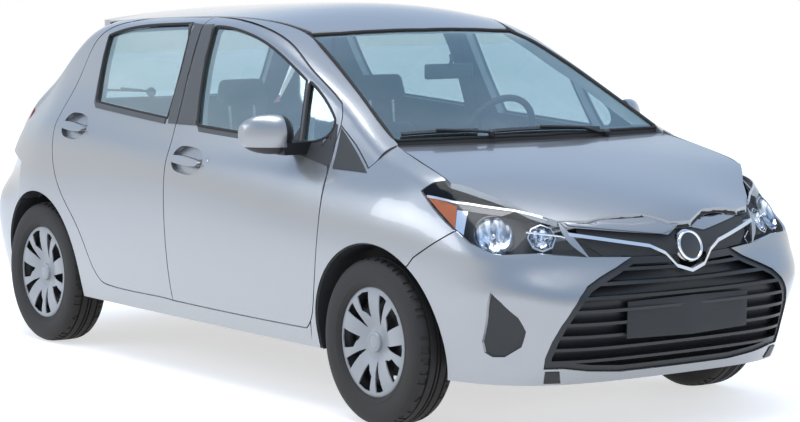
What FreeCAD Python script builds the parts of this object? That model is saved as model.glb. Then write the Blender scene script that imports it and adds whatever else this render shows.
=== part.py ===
import FreeCAD, Part
import math
import os

Vec = FreeCAD.Vector

# Five-door hatchback car, millimetres. X points to the nose, Y to the car's left, Z up.
# The origin is on the ground under the middle of the length.

# Driving dimensions of the whole car
LENGTH = 3950.0
WIDTH = 1695.0
HEIGHT = 1490.0
WHEELBASE = 2510.0
FRONT_OVERHANG = 800.0
BODY_BOTTOM_Z = 205.0
PANEL_GAP = 5.0

# Wheels, tyres and arches
TYRE_RADIUS = 304.0
TYRE_WIDTH = 176.0
TYRE_SHOULDER = 26.0
TYRE_GROOVE = 8.0
RIM_RADIUS = 196.0
RIM_WALL = 9.0
BEAD_GAP = 0.3
FRONT_TRACK = 1474.0
REAR_TRACK = 1460.0
COVER_FACE_OFFSET = 72.0
COVER_DISH = 20.0
COVER_PROFILE_SHARES = ((0.0, 1.0), (0.28, 1.0), (0.40, 0.72), (0.60, 0.28), (0.80, 0.0),
                        (0.93, 0.08), (1.0, 0.35))
COVER_THICKNESS = 12.0
COVER_CAP_RADIUS = 31.0
COVER_HUB_RADIUS = 60.0
COVER_RING_WIDTH = 22.0
DISC_RADIUS = 128.0
DISC_THICKNESS = 22.0
HUB_RADIUS = 68.0
HUB_FACE = 28.0
HUB_INNER = -20.0
HUB_GAP = 0.4
BEARING_RADIUS = 52.0
BEARING_LENGTH = 46.0
STEER_ARM_LENGTH = 120.0
COVER_FOLD = 5
WIDE_TURN = -25.0
WIDE_WINDOW = 27.0
NARROW_TURN = 15.0
NARROW_WINDOW = 17.0
ARCH_RADIUS = 357.0
LINER_WALL = 5.0

# Walls of the shell
SIDE_WALL = 92.0
PILLAR_WALL = 50.0
EDGE_BLEND = 180.0
DOOR_WALL = 86.0
DOOR_FRAME_WALL = 42.0
FLANGE_WALL = 14.0
RABBET_GAP = 8.0
DOOR_INSET = 32.0
LEDGE_INSET = 16.0
FENDER_WALL = 8.0
BUMPER_WALL = 8.0
BONNET_WALL = 18.0
ROOF_WALL = 22.0
HATCH_WALL = 58.0
HATCH_FRAME_WALL = 34.0
GLASS_WALL = 5.0
GLASS_INSET = 9.0
GLASS_GAP = 0.4
LAMP_WALL = 60.0
FLOOR_WALL = 18.0
CUT_OVERRUN = 60.0

HALF_WIDTH = WIDTH / 2
FRONT_AXLE_X = LENGTH / 2 - FRONT_OVERHANG
REAR_AXLE_X = FRONT_AXLE_X - WHEELBASE
REAR_OVERHANG = REAR_AXLE_X + LENGTH / 2
MID_X = (FRONT_AXLE_X + REAR_AXLE_X) / 2
WHEEL_Z = TYRE_RADIUS

# Stations along the car are shares: -2 tail, -1 rear axle, 0 mid wheelbase, 1 front axle, 2 nose.
# Heights are shares of HEIGHT and places across are shares of HALF_WIDTH.
PLAN_SHARES = ((-1.945, 0.790), (-1.672, 0.908), (-1.359, 0.962), (-1.0, 0.989), (-0.625, 0.997),
               (-0.307, 1.0), (0.092, 1.0), (0.490, 0.997), (0.809, 0.989), (1.0, 0.982),
               (1.325, 0.951), (1.575, 0.903), (1.825, 0.814), (2.044, 0.708))
TUCK_SHARES = ((0.101, 0.112), (0.121, 0.088), (0.161, 0.057), (0.201, 0.038), (0.268, 0.018),
               (0.336, 0.007), (0.403, 0.001), (0.470, 0.0), (0.523, 0.004), (0.562, 0.013),
               (0.588, 0.026), (0.604, 0.040), (0.628, 0.055), (0.671, 0.078), (0.738, 0.116),
               (0.805, 0.155), (0.872, 0.196), (0.926, 0.236), (0.953, 0.264), (0.973, 0.297), (0.993, 0.354))
TAPER_SHARES = ((-1.945, 0.153), (-1.594, 0.130), (-1.203, 0.083), (-0.705, 0.029), (-0.386, 0.007),
                (-0.117, 0.0), (0.300, 0.035), (0.677, 0.094), (0.914, 0.130), (1.325, 0.177),
                (1.700, 0.212))
# Station and height of the shoulder crease, which rises to the rear, and the height where TUCK has it
CREASE_SHARES = ((-1.9, 0.640), (-1.34, 0.642), (-0.959, 0.649), (-0.671, 0.634), (-0.384, 0.618),
                 (-0.133, 0.606), (0.104, 0.600))
CREASE_LOW_SHARE = 0.470
CREASE_KNEE_SHARE = 0.600
CREASE_TOP_SHARE = 0.738
CREASE_CLEAR_SHARE = 0.02
LEAN_SHARES = ((0.403, 0.0), (0.470, 0.05), (0.577, 0.35), (0.604, 0.5), (0.671, 0.8),
               (0.758, 1.0), (0.940, 1.15), (1.02, 1.2))
# Inner edge of the side panels: station, half width, height
EDGE_SHARES = ((-1.830, 0.690, 0.560), (-1.664, 0.735, 0.640), (-1.495, 0.755, 0.690),
               (-1.352, 0.728, 0.740), (-1.197, 0.700, 0.785), (-1.078, 0.678, 0.836),
               (-0.972, 0.655, 0.891), (-0.880, 0.646, 0.934), (-0.748, 0.661, 0.942),
               (-0.494, 0.678, 0.952), (-0.231, 0.684, 0.960), (-0.096, 0.678, 0.963),
               (0.104, 0.651, 0.958), (0.231, 0.617, 0.945), (0.300, 0.589, 0.928),
               (0.462, 0.631, 0.870), (0.622, 0.673, 0.805), (0.781, 0.714, 0.735),
               (0.933, 0.754, 0.666), (1.138, 0.791, 0.636), (1.374, 0.813, 0.604))
ROLL_SHARE = 0.045
ROLL_ROUND_SHARE = 1.7
LOW_ROW_SHARES = (0.0, 0.08, 0.18, 0.3, 0.43, 0.56, 0.68, 0.79, 0.88, 0.95)
HIGH_ROW_SHARES = (0.0, 0.06, 0.14, 0.26, 0.4, 0.56, 0.7, 0.84, 1.0)
ROLL_ROW_SHARES = (0.3, 0.58, 0.82, 1.0)
SIDE_STATION_SHARES = (-1.830, -1.66, -1.5, -1.35, -1.2, -1.05, -0.93, -0.82, -0.7, -0.55, -0.4, -0.25,
                       -0.1, 0.04, 0.16, 0.28, 0.38, 0.5, 0.62, 0.74, 0.86, 0.98)

# Nose ring: half plan at bumper height, at lamp height and along the bonnet edge
# Rows: station, half width (low); station, half width (lamp); station, half width, height (top)
NOSE_SHARES = ((2.015, 0.0, 1.990, 0.0, 1.895, 0.0, 0.519),
               (2.011, 0.200, 1.958, 0.177, 1.866, 0.189, 0.517),
               (2.000, 0.378, 1.893, 0.342, 1.812, 0.378, 0.515),
               (1.974, 0.531, 1.838, 0.507, 1.741, 0.529, 0.517),
               (1.912, 0.673, 1.785, 0.661, 1.656, 0.608, 0.540),
               (1.831, 0.767, 1.741, 0.755, 1.556, 0.673, 0.562),
               (1.731, 0.844, 1.687, 0.832, 1.462, 0.746, 0.585),
               (1.619, 0.891, 1.594, 0.887, 1.374, 0.813, 0.604))
FLANK_STATION_SHARES = (1.27, 1.18, 1.09, 1.0, 0.9, 0.8, 0.7, 0.6)
NOSE_TUCK_SHARES = ((0.138, 0.135), (0.20, 0.075), (0.27, 0.028), (0.336, 0.0), (0.44, 0.0))
NOSE_LEVEL_SHARES = (0.138, 0.175, 0.22, 0.28, 0.336, 0.375, 0.41, 0.44)
NOSE_TOP_ROW_SHARES = (0.17, 0.34, 0.5, 0.66, 0.8, 0.92, 1.0)
LAMP_BULGE_SHARE = 0.016
# Hollow round the fog lamp recess: station, height and their reaches
FOG_DENT = 40.0
FOG_DENT_SHARES = (1.80, 0.255, 0.15, 0.10)

# Tail ring, told in the same way as the nose
TAIL_SHARES = ((-2.009, 0.0, -1.922, 0.0, -1.727, 0.0, 0.678),
               (-2.006, 0.295, -1.917, 0.295, -1.719, 0.295, 0.678),
               (-1.986, 0.500, -1.895, 0.496, -1.688, 0.496, 0.678),
               (-1.960, 0.665, -1.855, 0.640, -1.635, 0.635, 0.679),
               (-1.915, 0.800, -1.765, 0.762, -1.575, 0.745, 0.681),
               (-1.850, 0.868, -1.670, 0.816, -1.490, 0.784, 0.683),
               (-1.750, 0.914, -1.580, 0.852, -1.398, 0.800, 0.691))
TAIL_FLANK_STATION_SHARES = (-1.30, -1.2, -1.1)
TAIL_TUCK_SHARES = ((0.138, 0.105), (0.20, 0.062), (0.27, 0.025), (0.336, 0.0), (0.44, 0.0))
TAIL_LEVEL_SHARES = (0.138, 0.185, 0.25, 0.32, 0.39, 0.43, 0.47, 0.52)
TAIL_BULGE_SHARE = 0.034

# Bonnet, windscreen, roof and back: centre lines and cross crowns
BONNET_CENTRE_SHARES = ((0.80, 0.690), (0.992, 0.664), (1.156, 0.648), (1.374, 0.621), (1.556, 0.595),
                        (1.741, 0.562), (1.844, 0.539), (1.895, 0.519), (1.98, 0.470))
BONNET_DROP_SHARES = ((0.80, 0.006), (0.992, 0.010), (1.156, 0.015), (1.374, 0.020), (1.556, 0.048),
                      (1.741, 0.115), (1.895, 0.174), (1.98, 0.20))
BONNET_STATION_SHARES = (0.86, 0.95, 1.05, 1.16, 1.27, 1.38, 1.49, 1.6, 1.7, 1.8, 1.88, 1.96)
BONNET_REACH_SHARE = 0.813
BONNET_POWER_SHARE = 2.2
SCREEN_CENTRE_SHARES = ((0.30, 0.950), (0.371, 0.932), (0.462, 0.897), (0.542, 0.866), (0.701, 0.796),
                        (0.861, 0.725), (0.933, 0.692), (0.992, 0.661), (1.04, 0.636))
SCREEN_STATION_SHARES = (0.27, 0.371, 0.46, 0.56, 0.66, 0.76, 0.86, 0.95, 1.02)
SCREEN_DROP_SHARE = 0.026
SCREEN_REACH_SHARE = 0.76
ROOF_REACH_SHARE = 0.70
ROOF_CENTRE_SHARES = ((-1.30, 0.930), (-1.203, 0.948), (-1.0, 0.966), (-0.813, 0.977), (-0.657, 0.984),
                      (-0.494, 0.989), (-0.342, 0.993), (-0.16, 0.998), (0.0, 0.999), (0.064, 0.998),
                      (0.143, 0.991), (0.223, 0.977), (0.303, 0.956), (0.371, 0.932), (0.42, 0.914))
ROOF_STATION_SHARES = (-1.28, -1.18, -1.05, -0.9, -0.72, -0.54, -0.36, -0.2, -0.06, 0.06, 0.16, 0.25,
                       0.33, 0.41)
BACK_CENTRE_SHARES = ((0.455, -1.953), (0.50, -1.922), (0.604, -1.868), (0.678, -1.727),
                      (0.80, -1.455), (0.90, -1.222), (0.945, -1.11), (0.97, -1.05))
BACK_SWEEP_SHARES = ((0.455, 0.12), (0.604, 0.17), (0.678, 0.23), (0.80, 0.29), (0.936, 0.30),
                     (0.97, 0.30))
BACK_LEVEL_SHARES = (0.455, 0.50, 0.55, 0.60, 0.65, 0.70, 0.76, 0.82, 0.88, 0.935, 0.97)
BACK_REACH_SHARE = 0.755
ACROSS_SHARES = (-1.04, -0.86, -0.66, -0.44, -0.22, 0.0, 0.22, 0.44, 0.66, 0.86, 1.04)

# Outlines of the openings, seen from the side: station, height
FRONT_DOOR_SHARES = ((-0.135, 0.962), (0.057, 0.953), (0.214, 0.931), (0.348, 0.894), (0.483, 0.838),
                     (0.601, 0.790), (0.664, 0.762), (0.692, 0.728), (0.705, 0.665), (0.728, 0.603),
                     (0.747, 0.542), (0.747, 0.410), (0.724, 0.301), (0.690, 0.226), (0.662, 0.205),
                     (0.35, 0.203), (-0.101, 0.204))
FRONT_DOOR_CORNERS = (0, 6, 14, 16)
REAR_DOOR_SHARES = ((-0.135, 0.962), (-0.359, 0.958), (-0.647, 0.941), (-0.759, 0.921),
                    (-0.853, 0.872), (-0.884, 0.792), (-0.910, 0.728), (-0.926, 0.658),
                    (-0.906, 0.593), (-0.857, 0.503), (-0.787, 0.433), (-0.713, 0.376),
                    (-0.650, 0.306), (-0.600, 0.240), (-0.564, 0.216), (-0.510, 0.208),
                    (-0.232, 0.206), (-0.101, 0.204))
REAR_DOOR_CORNERS = (0, 17)
FRONT_WINDOW_SHARES = ((0.012, 0.677), (-0.035, 0.807), (-0.056, 0.936), (0.018, 0.935),
                       (0.106, 0.926), (0.236, 0.901), (0.368, 0.859), (0.492, 0.810),
                       (0.512, 0.750), (0.548, 0.660), (0.28, 0.668))
FRONT_WINDOW_CORNERS = (0, 2, 7, 9)
QUARTER_WINDOW_SHARES = ((0.508, 0.808), (0.600, 0.766), (0.672, 0.720), (0.676, 0.690),
                         (0.640, 0.668), (0.563, 0.661), (0.530, 0.735))
QUARTER_WINDOW_CORNERS = (0, 2, 5)
REAR_WINDOW_SHARES = ((-0.690, 0.712), (-0.729, 0.797), (-0.749, 0.897), (-0.618, 0.919),
                      (-0.398, 0.935), (-0.198, 0.942), (-0.179, 0.866), (-0.172, 0.786),
                      (-0.175, 0.688), (-0.43, 0.700))
REAR_WINDOW_CORNERS = (0, 2, 5, 8)
WINDOW_SHIFT_SHARE = -0.008
SILL_BOTTOM_SHARE = 0.158
FENDER_TOP_SHARES = ((0.699, 0.708), (0.80, 0.664), (0.900, 0.614), (0.928, 0.640), (0.950, 0.70),
                     (1.374, 0.70))
FENDER_LOW_SHARES = ((1.396, 0.458), (1.296, 0.423), (1.264, 0.403), (1.20, 0.380), (1.0, 0.20),
                     (0.86, 0.158), (0.675, 0.158))
FENDER_DOOR_SHARES = ((0.690, 0.226), (0.724, 0.301), (0.747, 0.410), (0.747, 0.542), (0.728, 0.603),
                      (0.705, 0.665))
LAMP_BACK_SHARES = ((1.374, 0.604), (1.300, 0.596), (1.262, 0.577), (1.343, 0.545), (1.432, 0.514),
                    (1.500, 0.493), (1.572, 0.470), (1.667, 0.448))
LAMP_FRONT_SHARES = ((1.70, 0.444), (1.77, 0.446), (1.860, 0.434), (1.80, 0.475), (1.741, 0.517),
                     (1.741, 0.60), (1.374, 0.66), (1.374, 0.604))


def station(share):
    """Place along the car of a station share."""
    if share > 1:
        return FRONT_AXLE_X + (share - 1) * FRONT_OVERHANG
    if share < -1:
        return REAR_AXLE_X + (share + 1) * REAR_OVERHANG
    return MID_X + share * WHEELBASE / 2


def station_share(x):
    """Station share of a place along the car."""
    if x > FRONT_AXLE_X:
        return 1 + (x - FRONT_AXLE_X) / FRONT_OVERHANG
    if x < REAR_AXLE_X:
        return -1 + (x - REAR_AXLE_X) / REAR_OVERHANG
    return (x - MID_X) / (WHEELBASE / 2)


def smooth(table, place, column=1):
    """Monotone cubic through the rows of a table, level beyond its ends."""
    last = len(table) - 1
    if place <= table[0][0]:
        return table[0][column]
    if place >= table[last][0]:
        return table[last][column]
    row = 0
    while place > table[row + 1][0]:
        row += 1
    step = table[row + 1][0] - table[row][0]
    rise = (table[row + 1][column] - table[row][column]) / step
    slopes = [rise, rise]
    for side, near, far in ((0, row - 1, row), (1, row + 1, row + 2)):
        if near < 0 or far > last:
            continue
        other = (table[far][column] - table[near][column]) / (table[far][0] - table[near][0])
        slopes[side] = 0.0
        if rise * other > 0:
            slopes[side] = 2 * rise * other / (rise + other)
    t = (place - table[row][0]) / step
    low = table[row][column]
    return low + step * t * (slopes[0] + t * (3 * rise - 2 * slopes[0] - slopes[1]
                                              + t * (slopes[0] + slopes[1] - 2 * rise)))


def crease_warp(along, up):
    """Height share at which the tuck table is read, so that its knee follows the shoulder crease."""
    crease = smooth(CREASE_SHARES, along)
    if up <= CREASE_LOW_SHARE or up >= CREASE_TOP_SHARE:
        return up
    if up < crease:
        part = (up - CREASE_LOW_SHARE) / (crease - CREASE_LOW_SHARE)
        return CREASE_LOW_SHARE + part * (CREASE_KNEE_SHARE - CREASE_LOW_SHARE)
    part = (CREASE_TOP_SHARE - up) / (CREASE_TOP_SHARE - crease)
    return CREASE_TOP_SHARE - part * (CREASE_TOP_SHARE - CREASE_KNEE_SHARE)


def half_width(x, z):
    """Half width of the body side at a place along the car and a height."""
    along = station_share(x)
    up = z / HEIGHT
    tuck = smooth(TUCK_SHARES, crease_warp(along, up))
    taper = smooth(TAPER_SHARES, along) * smooth(LEAN_SHARES, up)
    return HALF_WIDTH * (smooth(PLAN_SHARES, along) - tuck - taper)


def edge_point(x):
    """Half width and height of the inner edge of the side panels."""
    along = station_share(x)
    return smooth(EDGE_SHARES, along) * HALF_WIDTH, smooth(EDGE_SHARES, along, 2) * HEIGHT


def flank_section(x):
    """Points of the body side at one station, from the sill up and over to its inner edge."""
    edge_y, edge_z = edge_point(x)
    roll = ROLL_SHARE * HEIGHT
    shoulder_z = edge_z - roll
    shoulder_y = half_width(x, shoulder_z)
    crease = smooth(CREASE_SHARES, station_share(x)) * HEIGHT
    crease_z = min(crease, shoulder_z - CREASE_CLEAR_SHARE * HEIGHT)
    heights = [BODY_BOTTOM_Z + share * (crease_z - BODY_BOTTOM_Z) for share in LOW_ROW_SHARES]
    heights += [crease_z + share * (shoulder_z - crease_z) for share in HIGH_ROW_SHARES]
    points = [Vec(x, -half_width(x, z), z) for z in heights]
    for share in ROLL_ROW_SHARES:
        round_share = (1 - share ** ROLL_ROUND_SHARE) ** (1 / ROLL_ROUND_SHARE)
        y = edge_y + (shoulder_y - edge_y) * round_share
        points.append(Vec(x, -y, shoulder_z + share * roll))
    return points


def pole_surface(grid):
    """Smooth cubic surface with the grid as its poles."""
    rows = len(grid)
    columns = len(grid[0])
    surface = Part.BSplineSurface()
    u_mults = [4] + [1] * (rows - 4) + [4]
    v_mults = [4] + [1] * (columns - 4) + [4]
    u_knots = [float(k) for k in range(len(u_mults))]
    v_knots = [float(k) for k in range(len(v_mults))]
    surface.buildFromPolesMultsKnots(grid, u_mults, v_mults, u_knots, v_knots, False, False, 3, 3)
    return surface


def grid_normal(grid, row, column):
    """Unit normal of a grid of points at one of them."""
    last_row = len(grid) - 1
    last_column = len(grid[0]) - 1
    along = grid[min(row + 1, last_row)][column] - grid[max(row - 1, 0)][column]
    up = grid[row][min(column + 1, last_column)] - grid[row][max(column - 1, 0)]
    normal = along.cross(up)
    normal.normalize()
    return normal


def offset_grid(grid, depth):
    """Grid moved into the body by a depth, which is a length or a function of a point."""
    moved = []
    for row in range(len(grid)):
        line = []
        for column in range(len(grid[0])):
            point = grid[row][column]
            amount = depth(point) if callable(depth) else depth
            line.append(point - grid_normal(grid, row, column) * amount)
        moved.append(line)
    return moved


def skin(grid, outer_depth, inner_depth):
    """Solid between two offsets of a grid whose normals point out of the body."""
    outer_grid = grid if outer_depth == 0 else offset_grid(grid, outer_depth)
    outer = pole_surface(outer_grid)
    inner = pole_surface(offset_grid(grid, inner_depth))
    u0, u1, v0, v1 = outer.bounds()
    faces = [outer.toShape(), inner.toShape()]
    for pair in ((outer.uIso(u0), inner.uIso(u0)), (outer.uIso(u1), inner.uIso(u1)),
                 (outer.vIso(v0), inner.vIso(v0)), (outer.vIso(v1), inner.vIso(v1))):
        faces.append(Part.makeRuledSurface(pair[0].toShape(), pair[1].toShape()))
    shell = Part.makeShell(faces)
    shell.sewShape()
    solid = Part.makeSolid(shell)
    if solid.Volume < 0:
        solid.reverse()
    return solid


def side_grid():
    """Grid of the right body side, its normals to the right."""
    return [flank_section(station(share)) for share in SIDE_STATION_SHARES]


def fog_bump(along, level):
    """Share of the fog lamp hollow's depth at a station share and a height share."""
    middle, height, reach, rise = FOG_DENT_SHARES
    across = ((along - middle) / reach) ** 2
    up = ((level - height) / rise) ** 2
    if across >= 1 or up >= 1:
        return 0.0
    return (1 - across) * (1 - across) * (1 - up) * (1 - up)


def ring_section(row, level_shares, tuck_shares, bulge):
    """Points of one slanted station of the nose or tail ring, bottom to top."""
    low_s, low_w, high_s, high_w, top_s, top_w, top_z = row
    lamp_level = level_shares[-1]
    blend_level = level_shares[-4]
    points = []
    for level in level_shares:
        tuck = smooth(tuck_shares, level)
        blend = max(0.0, (level - blend_level) / (lamp_level - blend_level))
        blend = blend * blend * (3 - 2 * blend)
        along = low_s + (high_s - low_s) * blend
        width = low_w + (high_w - low_w) * blend
        sign = 1 if along > 0 else -1
        x = station(along) - sign * tuck * HALF_WIDTH * (abs(along) - 1)
        narrow = tuck * width * width / 2
        dent = FOG_DENT * fog_bump(along, level)
        points.append(Vec(x - dent, -(width - narrow) * HALF_WIDTH + dent, level * HEIGHT))
    for share in NOSE_TOP_ROW_SHARES:
        along = high_s + (top_s - high_s) * share
        width = high_w + (top_w - high_w) * share
        level = lamp_level + (top_z - lamp_level) * share
        swell = bulge * 4 * share * (1 - share)
        sign = 1 if along > 0 else -1
        x = station(along) + sign * swell * HALF_WIDTH * (1 - width)
        points.append(Vec(x, -(width + swell * width) * HALF_WIDTH, level * HEIGHT))
    return points


def mirrored(points):
    """Points mirrored to the other side of the car."""
    return [Vec(p.x, -p.y, p.z) for p in points]


def flank_on_levels(x, level_shares, tuck_shares):
    """Points of the flank at a station, on the rows of a ring."""
    edge_y, edge_z = edge_point(x)
    roll = ROLL_SHARE * HEIGHT
    shoulder_z = edge_z - roll
    shoulder_y = half_width(x, shoulder_z)
    lamp_z = level_shares[-1] * HEIGHT
    heights = [level * HEIGHT for level in level_shares]
    heights += [lamp_z + share * (edge_z - lamp_z) for share in NOSE_TOP_ROW_SHARES]
    points = []
    for z in heights:
        if z <= shoulder_z:
            y = half_width(x, max(z, TUCK_SHARES[2][0] * HEIGHT))
        else:
            share = min(1.0, (z - shoulder_z) / roll)
            y = edge_y + (shoulder_y - edge_y) * (1 - share ** ROLL_ROUND_SHARE) ** (1 / ROLL_ROUND_SHARE)
        points.append(Vec(x, -y, z))
    return points


def nose_grid():
    """Grid of the front ring, from the right flank round the nose to the left flank."""
    right = [flank_on_levels(station(share), NOSE_LEVEL_SHARES, NOSE_TUCK_SHARES)
             for share in reversed(FLANK_STATION_SHARES)]
    right += [ring_section(row, NOSE_LEVEL_SHARES, NOSE_TUCK_SHARES, LAMP_BULGE_SHARE)
              for row in reversed(NOSE_SHARES)]
    return right + [mirrored(points) for points in reversed(right[:-1])]


def tail_grid():
    """Grid of the rear ring, from the left flank round the tail to the right flank."""
    right = [flank_on_levels(station(share), TAIL_LEVEL_SHARES, TAIL_TUCK_SHARES)
             for share in reversed(TAIL_FLANK_STATION_SHARES)]
    right += [ring_section(row, TAIL_LEVEL_SHARES, TAIL_TUCK_SHARES, TAIL_BULGE_SHARE)
              for row in reversed(TAIL_SHARES)]
    left = [mirrored(points) for points in right]
    return left + [points for points in reversed(right[:-1])]


def bonnet_height(x, y):
    """Height of the bonnet surface."""
    along = station_share(x)
    across = abs(y) / (BONNET_REACH_SHARE * HALF_WIDTH)
    drop = smooth(BONNET_DROP_SHARES, along) * across ** BONNET_POWER_SHARE
    return HEIGHT * (smooth(BONNET_CENTRE_SHARES, along) - drop)


def screen_height(x, y):
    """Height of the windscreen surface."""
    along = station_share(x)
    edge_y = edge_point(x)[0]
    drop = SCREEN_DROP_SHARE * (y / edge_y) ** 2
    return HEIGHT * (smooth(SCREEN_CENTRE_SHARES, along) - drop)


def roof_height(x, y):
    """Height of the roof surface, which meets the inner edges of the sides."""
    along = station_share(x)
    edge_y, edge_z = edge_point(max(x, station(EDGE_SHARES[7][0])))
    centre = smooth(ROOF_CENTRE_SHARES, along) * HEIGHT
    drop = max(centre - edge_z, SCREEN_DROP_SHARE * HEIGHT)
    return centre - drop * (y / edge_y) ** 2


def back_place(y, z):
    """Place along the car of the back surface, the hatch and its glass."""
    up = z / HEIGHT
    sweep = smooth(BACK_SWEEP_SHARES, up) * (abs(y) / (BACK_REACH_SHARE * HALF_WIDTH)) ** 2
    return station(smooth(BACK_CENTRE_SHARES, up) + sweep)


def cover_grid(stations, reach, height_of):
    """Grid of a surface over the car, its normals up."""
    return [[Vec(station(share), across * reach * HALF_WIDTH,
                 height_of(station(share), across * reach * HALF_WIDTH))
             for across in ACROSS_SHARES] for share in stations]


def back_grid():
    """Grid of the back surface, its normals to the rear."""
    reach = BACK_REACH_SHARE * HALF_WIDTH
    return [[Vec(back_place(across * reach, level * HEIGHT), across * reach, level * HEIGHT)
             for level in BACK_LEVEL_SHARES] for across in reversed(ACROSS_SHARES)]


def spline_wire(points, corners):
    """Closed wire: smooth curves through the points between the corners."""
    edges = []
    marks = list(corners) + [corners[0] + len(points)]
    for start, stop in zip(marks, marks[1:]):
        run = [points[k % len(points)] for k in range(start, stop + 1)]
        if len(run) == 2:
            edges.append(Part.makeLine(run[0], run[1]))
            continue
        curve = Part.BSplineCurve()
        curve.interpolate(run)
        edges.append(curve.toShape())
    return Part.Wire(Part.__sortEdges__(edges))


def shifted(points, amount):
    """Closed outline moved outwards by an amount, or inwards by a negative one."""
    count = len(points)
    area = sum(points[k - 1].x * points[k].z - points[k].x * points[k - 1].z for k in range(count))
    side = 1 if area > 0 else -1
    moved = []
    for k in range(count):
        before = points[k] - points[k - 1]
        after = points[(k + 1) % count] - points[k]
        before.normalize()
        after.normalize()
        middle = before + after
        middle.normalize()
        outward = Vec(middle.z, 0, -middle.x) * side
        stretch = max(0.5, math.cos(before.getAngle(after) / 2))
        moved.append(points[k] + outward * (amount / stretch))
    return moved


def side_points(shares, shift=0.0):
    """Outline points in the side view from shares."""
    return [Vec(station(s + shift), 0, z * HEIGHT) for s, z in shares]


def side_prism(points, corners, near_y, far_y):
    """Prism across the car from a side outline."""
    face = Part.Face(spline_wire(points, corners))
    face.translate(Vec(0, near_y, 0))
    return face.extrude(Vec(0, far_y - near_y, 0))


def polygon_prism(points, sweep):
    """Prism with straight edges from a list of points."""
    face = Part.Face(Part.makePolygon(points + [points[0]]))
    return face.extrude(sweep)


def axle_cylinder(radius, x, z, near_y, far_y):
    """Cylinder across the car."""
    return Part.makeCylinder(radius, far_y - near_y, Vec(x, near_y, z), Vec(0, 1, 0))


def box_between(x0, x1, y0, y1, z0, z1):
    """Box between six planes."""
    return Part.makeBox(x1 - x0, y1 - y0, z1 - z0, Vec(x0, y0, z0))


def to_left(shape):
    """Mirror of a right-hand piece."""
    return shape.mirror(Vec(0, 0, 0), Vec(0, 1, 0))


def biggest(shape):
    """Largest solid of a shape."""
    return max(shape.Solids, key=lambda solid: solid.Volume)


def joined(shapes):
    """Several solids in one shape."""
    solids = []
    for shape in shapes:
        solids += shape.Solids
    return Part.makeCompound(solids) if len(solids) > 1 else solids[0]


# Belt and thickness levels
BELT_LOW_SHARE = 0.60
BELT_HIGH_SHARE = 0.69

# Nose outlines, seen from the front: half width, height
BAR_SHARES = ((0.0, 0.535), (0.54, 0.535), (0.513, 0.500), (0.30, 0.487), (0.092, 0.476), (0.0, 0.502))
UPPER_GRILLE_SHARES = ((0.0, 0.530), (0.54, 0.530), (0.452, 0.434), (0.277, 0.431), (0.18, 0.42),
                       (0.0, 0.40))
LOWER_GRILLE_SHARES = ((0.0, 0.431), (0.277, 0.431), (0.352, 0.410), (0.44, 0.391), (0.512, 0.373),
                       (0.558, 0.350), (0.592, 0.322), (0.622, 0.284), (0.640, 0.245), (0.650, 0.205),
                       (0.646, 0.178), (0.573, 0.178), (0.460, 0.168), (0.30, 0.160), (0.0, 0.160))
STRIP_SHARES = ((0.508, 0.486), (0.19, 0.455), (0.125, 0.437), (0.075, 0.406), (0.0, 0.393))
STRIP_WIDTH = 12.0
EMBLEM_Z_SHARE = 0.450
EMBLEM_RADIUS = 55.0
FOG_SHARES = ((1.706, 0.360), (1.672, 0.300), (1.632, 0.240), (1.634, 0.216), (1.660, 0.205),
              (1.700, 0.206), (1.757, 0.231), (1.784, 0.268), (1.778, 0.302), (1.742, 0.338))
GRILLE_SLATS = 9
SLAT_WIDTH = 11.0
GRILLE_DEPTH = 46.0
GRILLE_BACK_WALL = 6.0
GRILLE_SET = 7.0
GRILLE_RIM = 24.0

# Bonnet, windscreen, roof and back outlines
BONNET_SHARES = ((0.992, 0.0), (0.980, 0.283), (0.958, 0.531), (0.933, 0.754), (1.138, 0.791),
                 (1.374, 0.813), (1.462, 0.746), (1.556, 0.673), (1.656, 0.608), (1.741, 0.529),
                 (1.800, 0.42), (1.822, 0.30), (1.856, 0.17), (1.912, 0.06), (1.915, 0.0))
SCREEN_SHARES = ((0.366, 0.0), (0.355, 0.24), (0.335, 0.44), (0.303, 0.585), (0.462, 0.627),
                 (0.622, 0.669), (0.781, 0.710), (0.902, 0.742), (0.925, 0.53), (0.945, 0.26), (0.952, 0.0))
ROOF_SHARES = ((0.3625, 0.0), (0.3515, 0.24), (0.3315, 0.44), (0.299, 0.565), (0.231, 0.592),
               (0.104, 0.630), (-0.096, 0.660), (-0.231, 0.666), (-0.494, 0.660), (-0.748, 0.643),
               (-0.860, 0.628), (-0.900, 0.622), (-0.907, 0.45), (-0.916, 0.24), (-0.920, 0.0))
SPOILER_SHARES = ((-0.925, 0.0), (-0.921, 0.24), (-0.912, 0.45), (-0.905, 0.605), (-0.97, 0.592),
                  (-1.06, 0.548), (-1.13, 0.476), (-1.175, 0.35), (-1.196, 0.18), (-1.202, 0.0))
SPOILER_WALL = 36.0
HATCH_HALF_SHARES = ((0.0, 0.950), (0.30, 0.946), (0.52, 0.938), (0.618, 0.918), (0.668, 0.80),
                     (0.715, 0.680), (0.690, 0.60), (0.672, 0.53), (0.655, 0.462), (0.0, 0.462))
HATCH_GLASS_SHARES = ((0.0, 0.905), (0.34, 0.900), (0.52, 0.885), (0.560, 0.80), (0.600, 0.712),
                      (0.56, 0.690), (0.30, 0.684), (0.0, 0.682))
TAIL_LAMP_SHARES = ((-1.440, 0.682), (-1.505, 0.550), (-1.62, 0.535), (-1.80, 0.540), (-1.95, 0.60),
                    (-1.90, 0.682))
REAR_BUMPER_SHARES = ((-1.285, 0.516), (-1.505, 0.542), (-1.60, 0.505), (-1.75, 0.456), (-2.1, 0.456),
                      (-2.1, 0.10), (-1.285, 0.10))
REAR_CORNER_SHARES = ((-1.42, 0.83), (-1.440, 0.682), (-1.505, 0.546), (-1.60, 0.510), (-1.75, 0.460),
                      (-2.1, 0.460), (-2.1, 0.83))
MOULDING_DEPTH = 4.0
MOULDING_WALL = 12.0
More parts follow.
